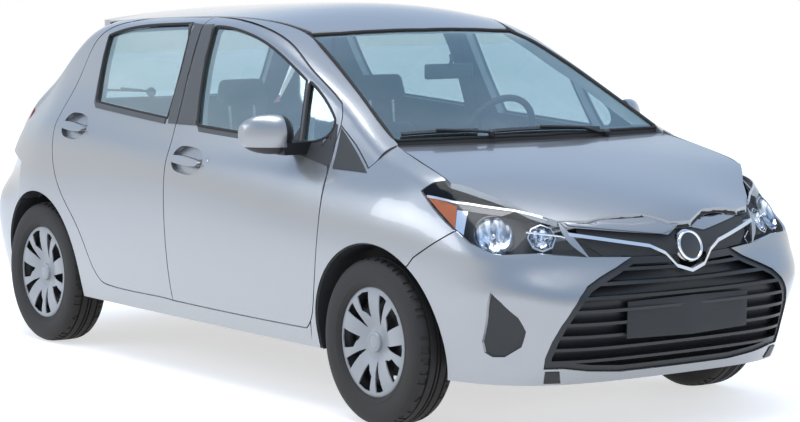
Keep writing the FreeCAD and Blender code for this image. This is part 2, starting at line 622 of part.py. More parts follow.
TAIL_TRIM_SHARES = ((-1.42, 0.83), (-1.440, 0.682), (-1.505, 0.546), (-1.285, 0.520), (-1.285, 0.10),
                    (-2.2, 0.10), (-2.2, 0.83))
FRONT_TRIM_SHARES = ((0.86, 0.10), (0.86, 0.60), (0.900, 0.598), (0.940, 0.640), (0.955, 0.672), (1.3, 0.50),
                     (1.3, 0.10))
DOOR_STOP_SHARES = ((-0.087, 0.40), (-0.106, 0.62), (-0.846, 0.53), (-0.921, 0.66))
DOOR_STOP_RADIUS = 5.0

# Cabin


def belt_blend(point):
    """Share of the way from below the belt to the window frames."""
    t = (point.z / HEIGHT - BELT_LOW_SHARE) / (BELT_HIGH_SHARE - BELT_LOW_SHARE)
    t = min(1.0, max(0.0, t))
    return t * t * (3 - 2 * t)


def body_depth(point):
    """Depth of the body side's inner face, less by the rolled edge and up the pillars."""
    edge_z = edge_point(point.x)[1]
    below = min(1.0, max(0.0, (edge_z - ROLL_SHARE * HEIGHT - point.z) / EDGE_BLEND))
    below = below * below * (3 - 2 * below)
    return PILLAR_WALL + (SIDE_WALL - PILLAR_WALL) * min(below, 1 - belt_blend(point))


def door_depth(point):
    """Depth of the doors' inner face."""
    return DOOR_WALL + (DOOR_FRAME_WALL - DOOR_WALL) * belt_blend(point)


def right_prism(points, corners):
    """Prism from a side outline through the right side of the car only."""
    return side_prism(points, corners, -HALF_WIDTH - CUT_OVERRUN, -CUT_OVERRUN)


def full_prism(points, corners):
    """Prism from a side outline through the whole car."""
    reach = HALF_WIDTH + CUT_OVERRUN
    return side_prism(points, corners, -reach, reach)


def front_outline(shares):
    """Closed front-view outline from a right half told from the centre line."""
    right = [Vec(0, -y * HALF_WIDTH, z * HEIGHT) for y, z in shares]
    left = [Vec(0, -p.y, p.z) for p in reversed(right) if p.y != 0]
    return right + left


def lengthwise_prism(points, near_x, far_x):
    """Prism along the car from a front-view outline."""
    moved = [Vec(near_x, p.y, p.z) for p in points]
    return polygon_prism(moved, Vec(far_x - near_x, 0, 0))


def top_outline(shares, gap):
    """Closed top-view outline, pulled in by a gap, from a half told from the centre line."""
    middle = sum(s for s, y in shares) / len(shares)
    right = []
    for s, y in shares:
        x = station(s)
        pull = gap if s < middle else -gap
        right.append(Vec(x + pull, -max(0.0, y * HALF_WIDTH - (gap if y else 0.0)), 0))
    left = [Vec(p.x, -p.y, 0) for p in reversed(right) if p.y != 0]
    return right + left


def upright_prism(points):
    """Vertical prism from a top-view outline."""
    return polygon_prism(points, Vec(0, 0, HEIGHT + CUT_OVERRUN))


def right_arch(x):
    """Cylinder of a right wheel arch."""
    return axle_cylinder(ARCH_RADIUS, x, WHEEL_Z, -HALF_WIDTH - CUT_OVERRUN, -HALF_WIDTH / 2)


def both_arches(x):
    """Cylinder of both wheel arches."""
    return axle_cylinder(ARCH_RADIUS, x, WHEEL_Z, -HALF_WIDTH - CUT_OVERRUN, HALF_WIDTH + CUT_OVERRUN)


def fender_outline():
    """Side outline of the fender and what lies above it."""
    lamp = LAMP_BACK_SHARES[:6]
    return side_points(FENDER_TOP_SHARES + lamp + FENDER_LOW_SHARES + FENDER_DOOR_SHARES)


def lamp_outline():
    """Side outline of a headlamp, open above the bonnet edge."""
    return side_points(LAMP_BACK_SHARES[1:] + LAMP_FRONT_SHARES)


def panel_cut(points):
    """Prism through the whole car from a side outline with straight edges."""
    reach = HALF_WIDTH + CUT_OVERRUN
    return polygon_prism([p - Vec(0, reach, 0) for p in points], Vec(0, 2 * reach, 0))


def make_body_side(grid, nose, lid_cutter):
    """Right sill, pillars, cant rail and rear quarter in one pressing."""
    reach = HALF_WIDTH + CUT_OVERRUN
    body = skin(grid, 0, body_depth)
    body = body.cut(box_between(-LENGTH, LENGTH, -reach, 0, 0, SILL_BOTTOM_SHARE * HEIGHT))
    body = body.cut(panel_cut(side_points(TAIL_TRIM_SHARES)))
    body = body.cut(panel_cut(side_points(FRONT_TRIM_SHARES)))
    body = body.cut(right_arch(REAR_AXLE_X))
    body = body.cut(right_arch(FRONT_AXLE_X))
    front_cut = skin(nose, -CUT_OVERRUN, FENDER_WALL + PANEL_GAP)
    body = body.cut(front_cut.common(panel_cut(shifted(fender_outline(), PANEL_GAP / 2))))
    body = body.cut(lid_cutter)
    flange_tool = skin(grid, -PANEL_GAP, FLANGE_WALL + RABBET_GAP)
    for shares, corners in ((FRONT_DOOR_SHARES, FRONT_DOOR_CORNERS), (REAR_DOOR_SHARES, REAR_DOOR_CORNERS)):
        points = side_points(shares)
        outer = right_prism(shifted(points, PANEL_GAP / 2), corners)
        body = body.cut(flange_tool.common(outer))
        body = body.cut(right_prism(shifted(points, -LEDGE_INSET), corners))
    body = biggest(body)
    pad_tool = skin(grid, FLANGE_WALL + GLASS_GAP, FLANGE_WALL + 2 * RABBET_GAP)
    stops = []
    for along, up in DOOR_STOP_SHARES:
        x = station(along)
        z = up * HEIGHT
        pad = Part.makeCylinder(DOOR_STOP_RADIUS, SIDE_WALL, Vec(x, -half_width(x, z), z), Vec(0, 1, 0))
        stops.append(biggest(pad.common(pad_tool)))
    return biggest(body.fuse(stops))


def handle_outline(centre, length, height):
    """Rounded outline of a handle piece in the side view, as a closed wire."""
    half = length / 2
    rise = height / 2
    tilt = math.radians(HANDLE_TILT)
    points = []
    for along, up in HANDLE_ROUND_SHARES:
        x = along * half
        z = up * rise
        points.append(centre + Vec(x * math.cos(tilt) + z * math.sin(tilt), 0,
                                   z * math.cos(tilt) - x * math.sin(tilt)))
    return points


def add_handle(door, grid, place):
    """Door with a cup pressed in and the grip bar across it."""
    centre = side_points((place,))[0]
    cup = skin(grid, -CUT_OVERRUN / 2, HANDLE_DEPTH)
    door = door.cut(cup.common(right_prism(handle_outline(centre, HANDLE_LENGTH, HANDLE_HEIGHT), (0,))))
    grip_outline = handle_outline(centre, HANDLE_LENGTH - 2 * PANEL_GAP, GRIP_HEIGHT)
    prism = right_prism(grip_outline, (0,))
    grip = skin(grid, -GRIP_OUT, GRIP_WALL - GRIP_OUT).common(prism)
    ends = skin(grid, -GRIP_OUT / 2, HANDLE_DEPTH + GRIP_WALL).common(prism)
    middle = (HANDLE_LENGTH - 2 * PANEL_GAP) / 2 - GRIP_END
    reach = HALF_WIDTH + CUT_OVERRUN
    gap = box_between(centre.x - middle, centre.x + middle, -reach, 0, 0, HEIGHT)
    return biggest(door.fuse([grip, ends.cut(gap)]))


def make_door(grid, shares, corners, window_sets, handle):
    """Door with an outer flange, a thick inner part and open windows."""
    points = side_points(shares)
    outer = right_prism(shifted(points, -PANEL_GAP / 2), corners)
    inner = right_prism(shifted(points, -DOOR_INSET), corners)
    flange = skin(grid, 0, FLANGE_WALL).common(outer)
    core = skin(grid, FLANGE_WALL / 2, door_depth).common(inner)
    door = flange.fuse(core)
    for window, window_corners in window_sets:
        outline = side_points(window, WINDOW_SHIFT_SHARE)
        door = door.cut(right_prism(outline, window_corners))
    return add_handle(biggest(door), grid, handle)


def make_door_glass(grid, window_sets):
    """Panes of one door, inside their openings."""
    slab = skin(grid, GLASS_INSET, GLASS_INSET + GLASS_WALL)
    panes = []
    for window, window_corners in window_sets:
        outline = side_points(window, WINDOW_SHIFT_SHARE)
        panes.append(slab.common(right_prism(shifted(outline, -GLASS_GAP), window_corners)))
    return joined(panes)


def make_fenders(ring, lid_cutter):
    """Both front fenders."""
    shape = ring.common(panel_cut(shifted(fender_outline(), -PANEL_GAP / 2)))
    door = shifted(side_points(FRONT_DOOR_SHARES), PANEL_GAP / 2)
    shape = shape.cut(full_prism(door, FRONT_DOOR_CORNERS))
    shape = shape.cut(lid_cutter)
    shape = shape.cut(both_arches(FRONT_AXLE_X))
    return joined([solid for solid in shape.Solids if solid.Volume > (FENDER_WALL * 10) ** 3])


def nose_opening(shares, gap):
    """Prism along the nose from a front outline, pulled in by a gap."""
    points = shifted_front(front_outline(shares), -gap)
    return lengthwise_prism(points, station(1.5), station(2.1))


def shifted_front(points, amount):
    """Front-view outline moved outwards by an amount."""
    flat = [Vec(p.y, 0, p.z) for p in points]
    return [Vec(0, p.x, p.z) for p in shifted(flat, amount)]


def make_front_bumper(ring, lid_cutter):
    """Front bumper cover with its grille opening, and the painted bar over the grille."""
    body = ring.cut(panel_cut(shifted(fender_outline(), PANEL_GAP / 2)))
    body = body.cut(panel_cut(lamp_outline()))
    rear = station(1.2)
    reach = HALF_WIDTH + CUT_OVERRUN
    body = body.cut(box_between(station(-1), rear, -reach, reach, 0, HEIGHT))
    body = body.cut(both_arches(FRONT_AXLE_X))
    body = body.cut(nose_opening(UPPER_GRILLE_SHARES, 0.0))
    body = body.cut(nose_opening(LOWER_GRILLE_SHARES, 0.0))
    body = body.cut(panel_cut(side_points(FOG_SHARES)))
    body = body.cut(strip_prism(STRIP_WIDTH + 2 * GLASS_GAP))
    bar = ring.common(nose_opening(BAR_SHARES, PANEL_GAP / 2))
    bar = bar.cut(panel_cut(lamp_outline()))
    bar = bar.cut(strip_prism(STRIP_WIDTH + 2 * GLASS_GAP))
    bar = bar.cut(emblem_disc(GLASS_GAP))
    return joined([biggest(body.cut(lid_cutter)), biggest(bar.cut(lid_cutter))])


def make_lower_grille(grid):
    """Lower grille with its slats, and the two dark fog lamp recesses."""
    block = skin(grid, GRILLE_SET, GRILLE_DEPTH)
    block = block.common(nose_opening(LOWER_GRILLE_SHARES, GLASS_GAP))
    block = block.cut(strip_prism(STRIP_WIDTH + 2 * GLASS_GAP))
    block = block.cut(emblem_disc(GLASS_GAP))
    tool = skin(grid, -PANEL_GAP, GRILLE_DEPTH - GRILLE_BACK_WALL)
    tool = tool.common(nose_opening(LOWER_GRILLE_SHARES, GRILLE_RIM))
    low = LOWER_GRILLE_SHARES[-1][1] * HEIGHT
    high = LOWER_GRILLE_SHARES[0][1] * HEIGHT
    pitch = (high - low) / GRILLE_SLATS
    for k in range(GRILLE_SLATS):
        z = low + k * pitch
        slot = box_between(station(1.4), station(2.1), -HALF_WIDTH, HALF_WIDTH, z + SLAT_WIDTH, z + pitch)
        block = block.cut(tool.common(slot))
    pockets = skin(grid, BUMPER_WALL + GLASS_GAP, BUMPER_WALL + GRILLE_BACK_WALL)
    pockets = pockets.common(panel_cut(shifted(side_points(FOG_SHARES), GRILLE_SET)))
    pockets = pockets.cut(nose_opening(LOWER_GRILLE_SHARES, -GLASS_GAP))
    return joined([biggest(block), pockets])


def make_upper_grille(grid, lid_cutter):
    """Black upper grille behind the bar, the strip and the bare badge."""
    block = skin(grid, BUMPER_WALL + GRILLE_SET, GRILLE_DEPTH)
    block = block.common(nose_opening(UPPER_GRILLE_SHARES, PANEL_GAP / 2))
    block = block.cut(panel_cut(shifted(lamp_outline(), PANEL_GAP)))
    block = block.cut(nose_opening(LOWER_GRILLE_SHARES, -GLASS_GAP))
    return biggest(block.cut(lid_cutter))


def strip_prism(width):
    """Prism of the bright strip, with a given width."""
    right = [Vec(0, -y * HALF_WIDTH, z * HEIGHT) for y, z in STRIP_SHARES]
    line = right + mirrored(reversed(right[:-1]))
    upper = [p + Vec(0, 0, width / 2) for p in line]
    lower = [p - Vec(0, 0, width / 2) for p in reversed(line)]
    return lengthwise_prism(upper + lower, station(1.5), station(2.1))


def emblem_disc(gap):
    """Round bar of the bare badge, grown by a gap."""
    start = Vec(station(1.5), 0, EMBLEM_Z_SHARE * HEIGHT)
    return Part.makeCylinder(EMBLEM_RADIUS + gap, HALF_WIDTH, start, Vec(1, 0, 0))


def make_grille_trim(grid):
    """Bright strip that dips under the bare badge, and the badge."""
    slab = skin(grid, 0, BUMPER_WALL + GRILLE_SET - GLASS_GAP)
    strip = slab.common(strip_prism(STRIP_WIDTH))
    strip = strip.cut(panel_cut(shifted(lamp_outline(), PANEL_GAP)))
    badge = slab.common(emblem_disc(0.0))
    return joined([biggest(strip), biggest(badge)])


def make_headlamps(grid, lid_cutter):
    """Both headlamps, as closed lenses with depth."""
    shape = skin(grid, 0, LAMP_WALL).common(panel_cut(shifted(lamp_outline(), -GLASS_GAP)))
    shape = shape.cut(lid_cutter)
    return joined([solid for solid in shape.Solids if solid.Volume > LAMP_WALL ** 3])


def bonnet_cutter(grid):
    """What the bonnet takes from the pieces round its edge."""
    slab = skin(grid, -CUT_OVERRUN, BONNET_WALL + PANEL_GAP)
    return slab.common(upright_prism(top_outline(BONNET_SHARES, -PANEL_GAP / 2)))


def make_bonnet(grid):
    """Bonnet."""
    slab = skin(grid, 0, BONNET_WALL)
    return biggest(slab.common(upright_prism(top_outline(BONNET_SHARES, PANEL_GAP / 2))))


def make_windscreen(grid):
    """Windscreen glass."""
    slab = skin(grid, 0, GLASS_WALL)
    return biggest(slab.common(upright_prism(top_outline(SCREEN_SHARES, GLASS_GAP))))


def make_roof(grid):
    """Roof panel."""
    slab = skin(grid, 0, ROOF_WALL)
    return biggest(slab.common(upright_prism(top_outline(ROOF_SHARES, GLASS_GAP))))


def make_roof_mouldings(grid, side_cutter):
    """Dark strips in the ditches between the roof panel and the sides."""
    slab = skin(grid, MOULDING_DEPTH, MOULDING_DEPTH + MOULDING_WALL)
    inner = [Vec(station(s), -y * HALF_WIDTH - GLASS_GAP, 0) for s, y in ROOF_SHARES[3:11]]
    outer = []
    for point in reversed(inner):
        outer.append(Vec(point.x, -edge_point(point.x)[0] - PANEL_GAP, 0))
    strip = slab.common(upright_prism(inner + outer))
    strip = biggest(strip.cut(side_cutter))
    return joined([strip, to_left(strip)])


def back_prism(shares, gap):
    """Prism along the tail from a front-view outline, pulled in by a gap."""
    points = shifted_front(front_outline(shares), -gap)
    return lengthwise_prism(points, station(-2.1), station(-0.85))


def hatch_depth(point):
    """Depth of the hatch's inner face."""
    return HATCH_WALL + (HATCH_FRAME_WALL - HATCH_WALL) * belt_blend(point)


def hatch_seat(point):
    """Depth just past the hatch's inner face."""
    return hatch_depth(point) + SEAT_GAP


def make_hatch(grid, roof):
    """Tailgate with a thin window frame and a thick lower half."""
    slab = skin(grid, 0, hatch_depth)
    hatch = slab.common(back_prism(HATCH_HALF_SHARES, PANEL_GAP))
    right = [Vec(station(s), -y * HALF_WIDTH, 0) for s, y in SPOILER_SHARES]
    outline = right + mirrored(reversed(right[1:-1]))
    spoiler = skin(roof, 0, SPOILER_WALL).common(upright_prism(outline))
    hatch = biggest(hatch).fuse(biggest(spoiler))
    hatch = hatch.cut(back_prism(HATCH_GLASS_SHARES, 0.0))
    return biggest(hatch)


def make_hatch_glass(grid):
    """Rear window."""
    slab = skin(grid, GLASS_INSET, GLASS_INSET + GLASS_WALL)
    return biggest(slab.common(back_prism(HATCH_GLASS_SHARES, GLASS_GAP)))


def tail_lamp_prism(gap):
    """Prism of the tail lamps in the side view."""
    return panel_cut(shifted(side_points(TAIL_LAMP_SHARES), -gap))


def make_tail_lamps(ring_grid):
    """Both tail lamps."""
    slab = skin(ring_grid, 0, LAMP_WALL)
    shape = slab.common(tail_lamp_prism(GLASS_GAP))
    shape = shape.cut(back_prism(HATCH_HALF_SHARES, -GLASS_GAP))
    return joined([solid for solid in shape.Solids if solid.Volume > LAMP_WALL ** 3])


def make_rear_bumper(ring):
    """Rear bumper cover."""
    shape = ring.common(panel_cut(shifted(side_points(REAR_BUMPER_SHARES), -PANEL_GAP / 2)))
    shape = shape.cut(both_arches(REAR_AXLE_X))
    return biggest(shape)


def make_quarter_corners(ring):
    """Painted corners between the quarter panels, the tail lamps, the hatch and the bumper."""
    shape = ring.common(panel_cut(shifted(side_points(REAR_CORNER_SHARES), -GLASS_GAP)))
    shape = shape.cut(tail_lamp_prism(0.0))
    shape = shape.cut(back_prism(HATCH_HALF_SHARES, 0.0))
    right = biggest(shape.common(box_between(-LENGTH, LENGTH, -LENGTH, 0, 0, HEIGHT)))
    return joined([right, to_left(right)])


# Handles and mirrors
HANDLE_SHARES = ((0.002, 0.587), (-0.779, 0.642))
HANDLE_LENGTH = 222.0
HANDLE_HEIGHT = 108.0
HANDLE_DEPTH = 24.0
HANDLE_TILT = 3.0
HANDLE_ROUND_SHARES = ((-1.0, 0.0), (-0.93, 0.50), (-0.70, 0.84), (-0.30, 0.98), (0.20, 0.99), (0.62, 0.85),
                       (0.92, 0.48), (1.0, 0.0), (0.92, -0.48), (0.62, -0.85), (0.20, -0.99),
                       (-0.30, -0.98), (-0.70, -0.84), (-0.93, -0.50))
GRIP_HEIGHT = 34.0
GRIP_OUT = 17.0
GRIP_WALL = 12.0
GRIP_END = 20.0
MIRROR_X_SHARE = 0.560
MIRROR_Z_SHARE = 0.684
MIRROR_DEPTH = 105.0
MIRROR_HEIGHT = 148.0
MIRROR_INNER_Y = 800.0
MIRROR_OUTER_Y = 962.0
MIRROR_RAKE = 75.0
MIRROR_SECTION_SHARES = ((0.0, 0.62, 0.66), (0.2, 0.92, 0.95), (0.5, 1.0, 1.0), (0.8, 0.86, 0.86),
                         (1.0, 0.45, 0.45))
MIRROR_FOOT_HEIGHT = 46.0
MIRROR_FOOT_LENGTH = 90.0
MIRROR_FOOT_Y = 850.0
MIRROR_LOW_SHARE = 0.36
MIRROR_SEAT = 0.3
WIPER_SHARES = (((0.925, -0.10), (0.80, -0.62)), ((0.905, 0.62), (0.83, -0.02)))
WIPER_HEIGHT = 14.0
WIPER_WIDTH = 11.0
WIPER_TIP_SHARE = 0.5

# Underbody and cabin
SEAT_GAP = 0.3
SPOKE_SHARE = 0.7
FLOOR_HALF = 760.0
FLOOR_PROFILE_SHARES = ((0.80, 0.650), (0.83, 0.40), (0.72, 0.171), (-0.38, 0.171), (-0.43, 0.235),
                        (-0.72, 0.245), (-0.76, 0.315), (-1.92, 0.315))
SCUTTLE_SHARES = ((0.80, 0.650), (0.93, 0.668))
REAR_PANEL_TOP_SHARE = 0.50
REAR_PANEL_HALF = 590.0
REAR_PANEL_GAP = 8.0
HATCH_PAD_Y = 420.0
HATCH_PAD_Z_SHARE = 0.485
HATCH_PAD_RADIUS = 12.0
COWL_LAP = 26.0
COWL_UPSTAND = 34.0
REAR_LINER_INNER_Y = 545.0
FRONT_LINER_INNER_Y = 458.0
LINER_LOW_Z = 235.0
ARM_WINDOW = 190.0
ARM_WINDOW_TOP = 400.0
KINGPIN_LOW_Y = 686.0
KINGPIN_LOW_Z = 200.0
KINGPIN_TOP_Y = 545.0
KINGPIN_TOP_Z = 880.0
STRUT_RADIUS = 18.0
SPRING_RADIUS = 58.0
SPRING_WALL = 13.0
SPRING_LOW_SHARE = 0.66
TOWER_LOW_SHARE = 0.45
SPRING_HIGH_SHARE = 0.97
TOWER_RADIUS = 72.0
TOWER_WALL = 5.0
BALL_RADIUS = 14.0
ARM_THICKNESS = 26.0
ARM_WIDTH = 60.0
SUBFRAME_HALF = 380.0
SUBFRAME_HEIGHT = 60.0
SUBFRAME_LENGTH = 150.0
BEAM_RADIUS = 46.0
BEAM_AHEAD = 250.0
TRAIL_WIDTH = 60.0
TRAIL_PIVOT_AHEAD = 430.0
TRAIL_Y = 500.0
REAR_SPRING_Y = 470.0
REAR_SPRING_AHEAD = 130.0
EXHAUST_RADIUS = 24.0
EXHAUST_Y = 120.0
MUFFLER_LENGTH = 330.0
MUFFLER_WIDTH = 560.0
MUFFLER_HEIGHT = 150.0
MUFFLER_Z = 340.0
ENGINE_LENGTH = 400.0
ENGINE_WIDTH = 800.0
ENGINE_HEIGHT = 520.0
ENGINE_Z = 262.0
ENGINE_X_SHARE = 1.1
TANK_LENGTH = 330.0
TANK_WIDTH = 490.0
TANK_CLEARANCE = 25.0
TANK_HEIGHT = 125.0
SEAT_WIDTH = 500.0
SEAT_Y = 355.0
SEAT_BASE_WIDTH = 400.0
SEAT_SHARES = ((0.16, 0.225), (0.205, 0.300), (0.195, 0.338), (-0.10, 0.318), (-0.235, 0.655),
               (-0.215, 0.700), (-0.245, 0.800), (-0.300, 0.795), (-0.305, 0.700), (-0.320, 0.655),
               (-0.200, 0.240), (-0.12, 0.225))
HEADREST_WIDTH = 260.0
HEADREST_SHARE = 0.69
REAR_SEAT_SHARES = ((-0.44, 0.2356), (-0.40, 0.315), (-0.42, 0.345), (-0.70, 0.335), (-0.83, 0.640),
                    (-0.84, 0.700), (-0.89, 0.700), (-0.90, 0.640), (-0.80, 0.330), (-0.735, 0.322),
                    (-0.71, 0.2449))
REAR_SEAT_WIDTH = 1080.0
DASH_SHARES = ((0.8283, 0.41), (0.8007, 0.640), (0.70, 0.672), (0.56, 0.650), (0.53, 0.58), (0.575, 0.45),
               (0.60, 0.36), (0.72, 0.36))
DASH_WIDTH = 1340.0
CONSOLE_WIDTH = 210.0
CONSOLE_SHARES = ((0.70, 0.1712), (0.70, 0.36), (0.56, 0.42), (0.45, 0.29), (-0.15, 0.27), (-0.2, 0.1712))
STEER_X_SHARE = 0.385
STEER_Z_SHARE = 0.640
STEER_RADIUS = 183.0
STEER_TUBE = 14.0
STEER_TILT = 24.0
COLUMN_RADIUS = 26.0
COLUMN_SHROUD_RADIUS = 52.0
COLUMN_LENGTH = 260.0
COLUMN_GAP = 40.0
STRUT_LOW_SHARE = 0.12
STRUT_HIGH_SHARE = 0.90
BALL_LOW_SHARE = 0.02
STRUT_TOP_GAP_SHARE = 0.02
COWL_FROM_SHARE = 0.89
BRACKET_WALL = 3.0


def make_tyre(x, y):
    """Tyre with rounded shoulders and three grooves, as a closed ring on its rim."""
    half = TYRE_WIDTH / 2
    bead = RIM_RADIUS + RIM_WALL + BEAD_GAP
    side_z = TYRE_RADIUS - TYRE_SHOULDER
    tread = half - TYRE_SHOULDER
    rows = [(-tread, bead), (-half, bead + TYRE_SHOULDER), (-half, side_z), (-tread, TYRE_RADIUS)]
    groove = TYRE_GROOVE
    for middle in (-tread / 2, 0.0, tread / 2):
        rows += [(middle - groove / 2, TYRE_RADIUS), (middle - groove / 2, TYRE_RADIUS - groove),
                 (middle + groove / 2, TYRE_RADIUS - groove), (middle + groove / 2, TYRE_RADIUS)]
    rows += [(tread, TYRE_RADIUS), (half, side_z), (half, bead + TYRE_SHOULDER), (tread, bead)]
    points = [Vec(0, y_side, radius) for y_side, radius in rows]
    face = Part.Face(Part.makePolygon(points + [points[0]]))
    ring = face.revolve(Vec(0, 0, 0), Vec(0, 1, 0), 360)
    ring.translate(Vec(x, y, WHEEL_Z))
    return ring


def disc_at(radius, near_y, far_y):
    """Disc about the wheel's own axis between two planes."""
    low = min(near_y, far_y)
    return Part.makeCylinder(radius, abs(far_y - near_y), Vec(0, low, 0), Vec(0, 1, 0))


def window_sector(inner, outer, start, width, near_y, far_y):
    """Solid of one cover window: a sector with rounded sides between two radii."""
    points = []
    for radius, turn in ((inner, -0.30), (inner, 0.30), (outer, 0.5), (outer, -0.5)):
        angle = math.radians(start + turn * width)
        points.append(Vec(radius * math.sin(angle), near_y, radius * math.cos(angle)))
    return polygon_prism(points, Vec(0, far_y - near_y, 0))


def cover_plate(side):
    """Cover as a plate that crowns near the rim and dishes to the hub."""
    outer_rows = []
    inner_rows = []
    rim = RIM_RADIUS - RIM_WALL + SEAT_GAP
    for radius_share, dish_share in COVER_PROFILE_SHARES:
        depth = COVER_FACE_OFFSET - COVER_DISH * dish_share
        outer_rows.append(Vec(0, side * depth, rim * radius_share))
        inner_rows.append(Vec(0, side * (depth - COVER_THICKNESS), rim * radius_share))
    points = outer_rows + list(reversed(inner_rows))
    face = Part.Face(Part.makePolygon(points + [points[0]]))
    plate = face.revolve(Vec(0, 0, 0), Vec(0, 1, 0), 360)
    return plate if plate.Volume > 0 else plate.reversed()


def make_wheel(x, y, side):
    """Steel rim, hub with brake disc and five-fold cover of one wheel; side is -1 on the right."""
    half = TYRE_WIDTH / 2
    barrel = disc_at(RIM_RADIUS + RIM_WALL, -half, half).cut(disc_at(RIM_RADIUS - RIM_WALL, -half, half))
    hub_y = side * HUB_FACE
    web = disc_at(RIM_RADIUS, hub_y, hub_y + side * RIM_WALL)
    web = web.cut(disc_at(HUB_RADIUS / 2, hub_y, hub_y + side * RIM_WALL))
    hub = disc_at(HUB_RADIUS, side * HUB_INNER, hub_y + side * RIM_WALL)
    brake = disc_at(DISC_RADIUS, side * HUB_INNER, side * (HUB_INNER + DISC_THICKNESS))
    face_y = side * COVER_FACE_OFFSET
    cover = cover_plate(side)
    outer = RIM_RADIUS - RIM_WALL - COVER_RING_WIDTH
    cuts = []
    for k in range(COVER_FOLD):
        turn = k * 360 / COVER_FOLD
        for start, width in ((turn + WIDE_TURN, WIDE_WINDOW), (turn + NARROW_TURN, NARROW_WINDOW)):
            cuts.append(window_sector(COVER_HUB_RADIUS + COVER_THICKNESS, outer, start, width,
                                      hub_y + side * 2 * RIM_WALL, face_y + side * COVER_THICKNESS))
    cover = cover.cut(cuts)
    dish_y = face_y - side * COVER_DISH
    cap = disc_at(COVER_CAP_RADIUS, hub_y, dish_y + side * COVER_THICKNESS)
    spindle = disc_at(COVER_HUB_RADIUS, hub_y, dish_y - side * COVER_THICKNESS / 2)
    wheel = barrel.fuse([web, hub, brake, cover, cap, spindle])
    wheel.translate(Vec(x, y, WHEEL_Z))
    return wheel


def kingpin_ends(side):
    """Lower ball joint and strut top of one front wheel."""
    low = Vec(FRONT_AXLE_X, side * KINGPIN_LOW_Y, KINGPIN_LOW_Z)
    top = Vec(FRONT_AXLE_X, side * KINGPIN_TOP_Y, KINGPIN_TOP_Z)
    return low, top


def along_strut(side, share):
    """Point on the strut's axis."""
    low, top = kingpin_ends(side)
    return low + (top - low) * share


def tube_between(start, end, radius):
    """Round bar between two points."""
    return Part.makeCylinder(radius, (end - start).Length, start, end - start)


def make_knuckle(side):
    """Front upright with its hub bearing, steering arm and strut tube."""
    wheel_y = side * FRONT_TRACK / 2
    inner_y = wheel_y + side * (HUB_INNER - HUB_GAP)
    low, top = kingpin_ends(side)
    bearing = tube_between(Vec(FRONT_AXLE_X, inner_y - side * BEARING_LENGTH, WHEEL_Z),
                           Vec(FRONT_AXLE_X, inner_y, WHEEL_Z), BEARING_RADIUS)
    strut_foot = along_strut(side, STRUT_LOW_SHARE)
    strut = tube_between(strut_foot, along_strut(side, STRUT_HIGH_SHARE), STRUT_RADIUS)
    socket = tube_between(along_strut(side, BALL_LOW_SHARE), along_strut(side, STRUT_LOW_SHARE * 2),
                          BALL_RADIUS + RIM_WALL)
    arm_end = Vec(FRONT_AXLE_X - STEER_ARM_LENGTH, inner_y - side * BEARING_LENGTH, WHEEL_Z - BEARING_RADIUS)
    arm = tube_between(Vec(FRONT_AXLE_X, inner_y - side * BEARING_LENGTH / 2, WHEEL_Z - BEARING_RADIUS / 2),
                       arm_end, BALL_RADIUS / 2)
    return biggest(bearing.fuse([strut, socket, arm]))


def make_front_suspension():
    """Subframe, lower arms with their ball pins, spring coils and strut tops."""
    solids = []
    z = KINGPIN_LOW_Z
    frame_top = z - ARM_THICKNESS + SUBFRAME_HEIGHT
    frame = box_between(FRONT_AXLE_X - SUBFRAME_LENGTH, FRONT_AXLE_X + SUBFRAME_LENGTH / 3, -SUBFRAME_HALF,
                        SUBFRAME_HALF, z - ARM_THICKNESS, frame_top)
    arms = []
    for side in (-1, 1):
        low, top = kingpin_ends(side)
        pad_z = z - ARM_THICKNESS
        outline = [Vec(FRONT_AXLE_X + ARM_WIDTH / 2, low.y, pad_z),
                   Vec(FRONT_AXLE_X + ARM_WIDTH / 2, side * SUBFRAME_HALF * 0.9, pad_z),
                   Vec(FRONT_AXLE_X - SUBFRAME_LENGTH, side * SUBFRAME_HALF * 0.9, pad_z),
                   Vec(FRONT_AXLE_X - ARM_WIDTH / 2, low.y, pad_z)]
        arms.append(polygon_prism(outline, Vec(0, 0, ARM_THICKNESS / 2)))
        pin_top = along_strut(side, BALL_LOW_SHARE) - (top - low).normalize() * SEAT_GAP
        arms.append(tube_between(along_strut(side, -2 * BALL_LOW_SHARE), pin_top, BALL_RADIUS))
        spring = tube_between(along_strut(side, SPRING_LOW_SHARE), along_strut(side, SPRING_HIGH_SHARE),
                              SPRING_RADIUS)
        spring = spring.cut(tube_between(along_strut(side, SPRING_LOW_SHARE / 2), along_strut(side, 1.0),
                                         SPRING_RADIUS - SPRING_WALL))
        cap = tube_between(along_strut(side, STRUT_HIGH_SHARE + STRUT_TOP_GAP_SHARE), along_strut(side, 1.0),
                           TOWER_RADIUS - SEAT_GAP)
        solids.append(spring.fuse(cap))
        mount = Vec(FRONT_AXLE_X - SUBFRAME_LENGTH / 3, side * SUBFRAME_HALF / 2, frame_top)
        arms.append(Part.makeCylinder(ARM_THICKNESS, ENGINE_Z - SEAT_GAP - frame_top, mount))
    return joined([frame.fuse(arms)] + solids)


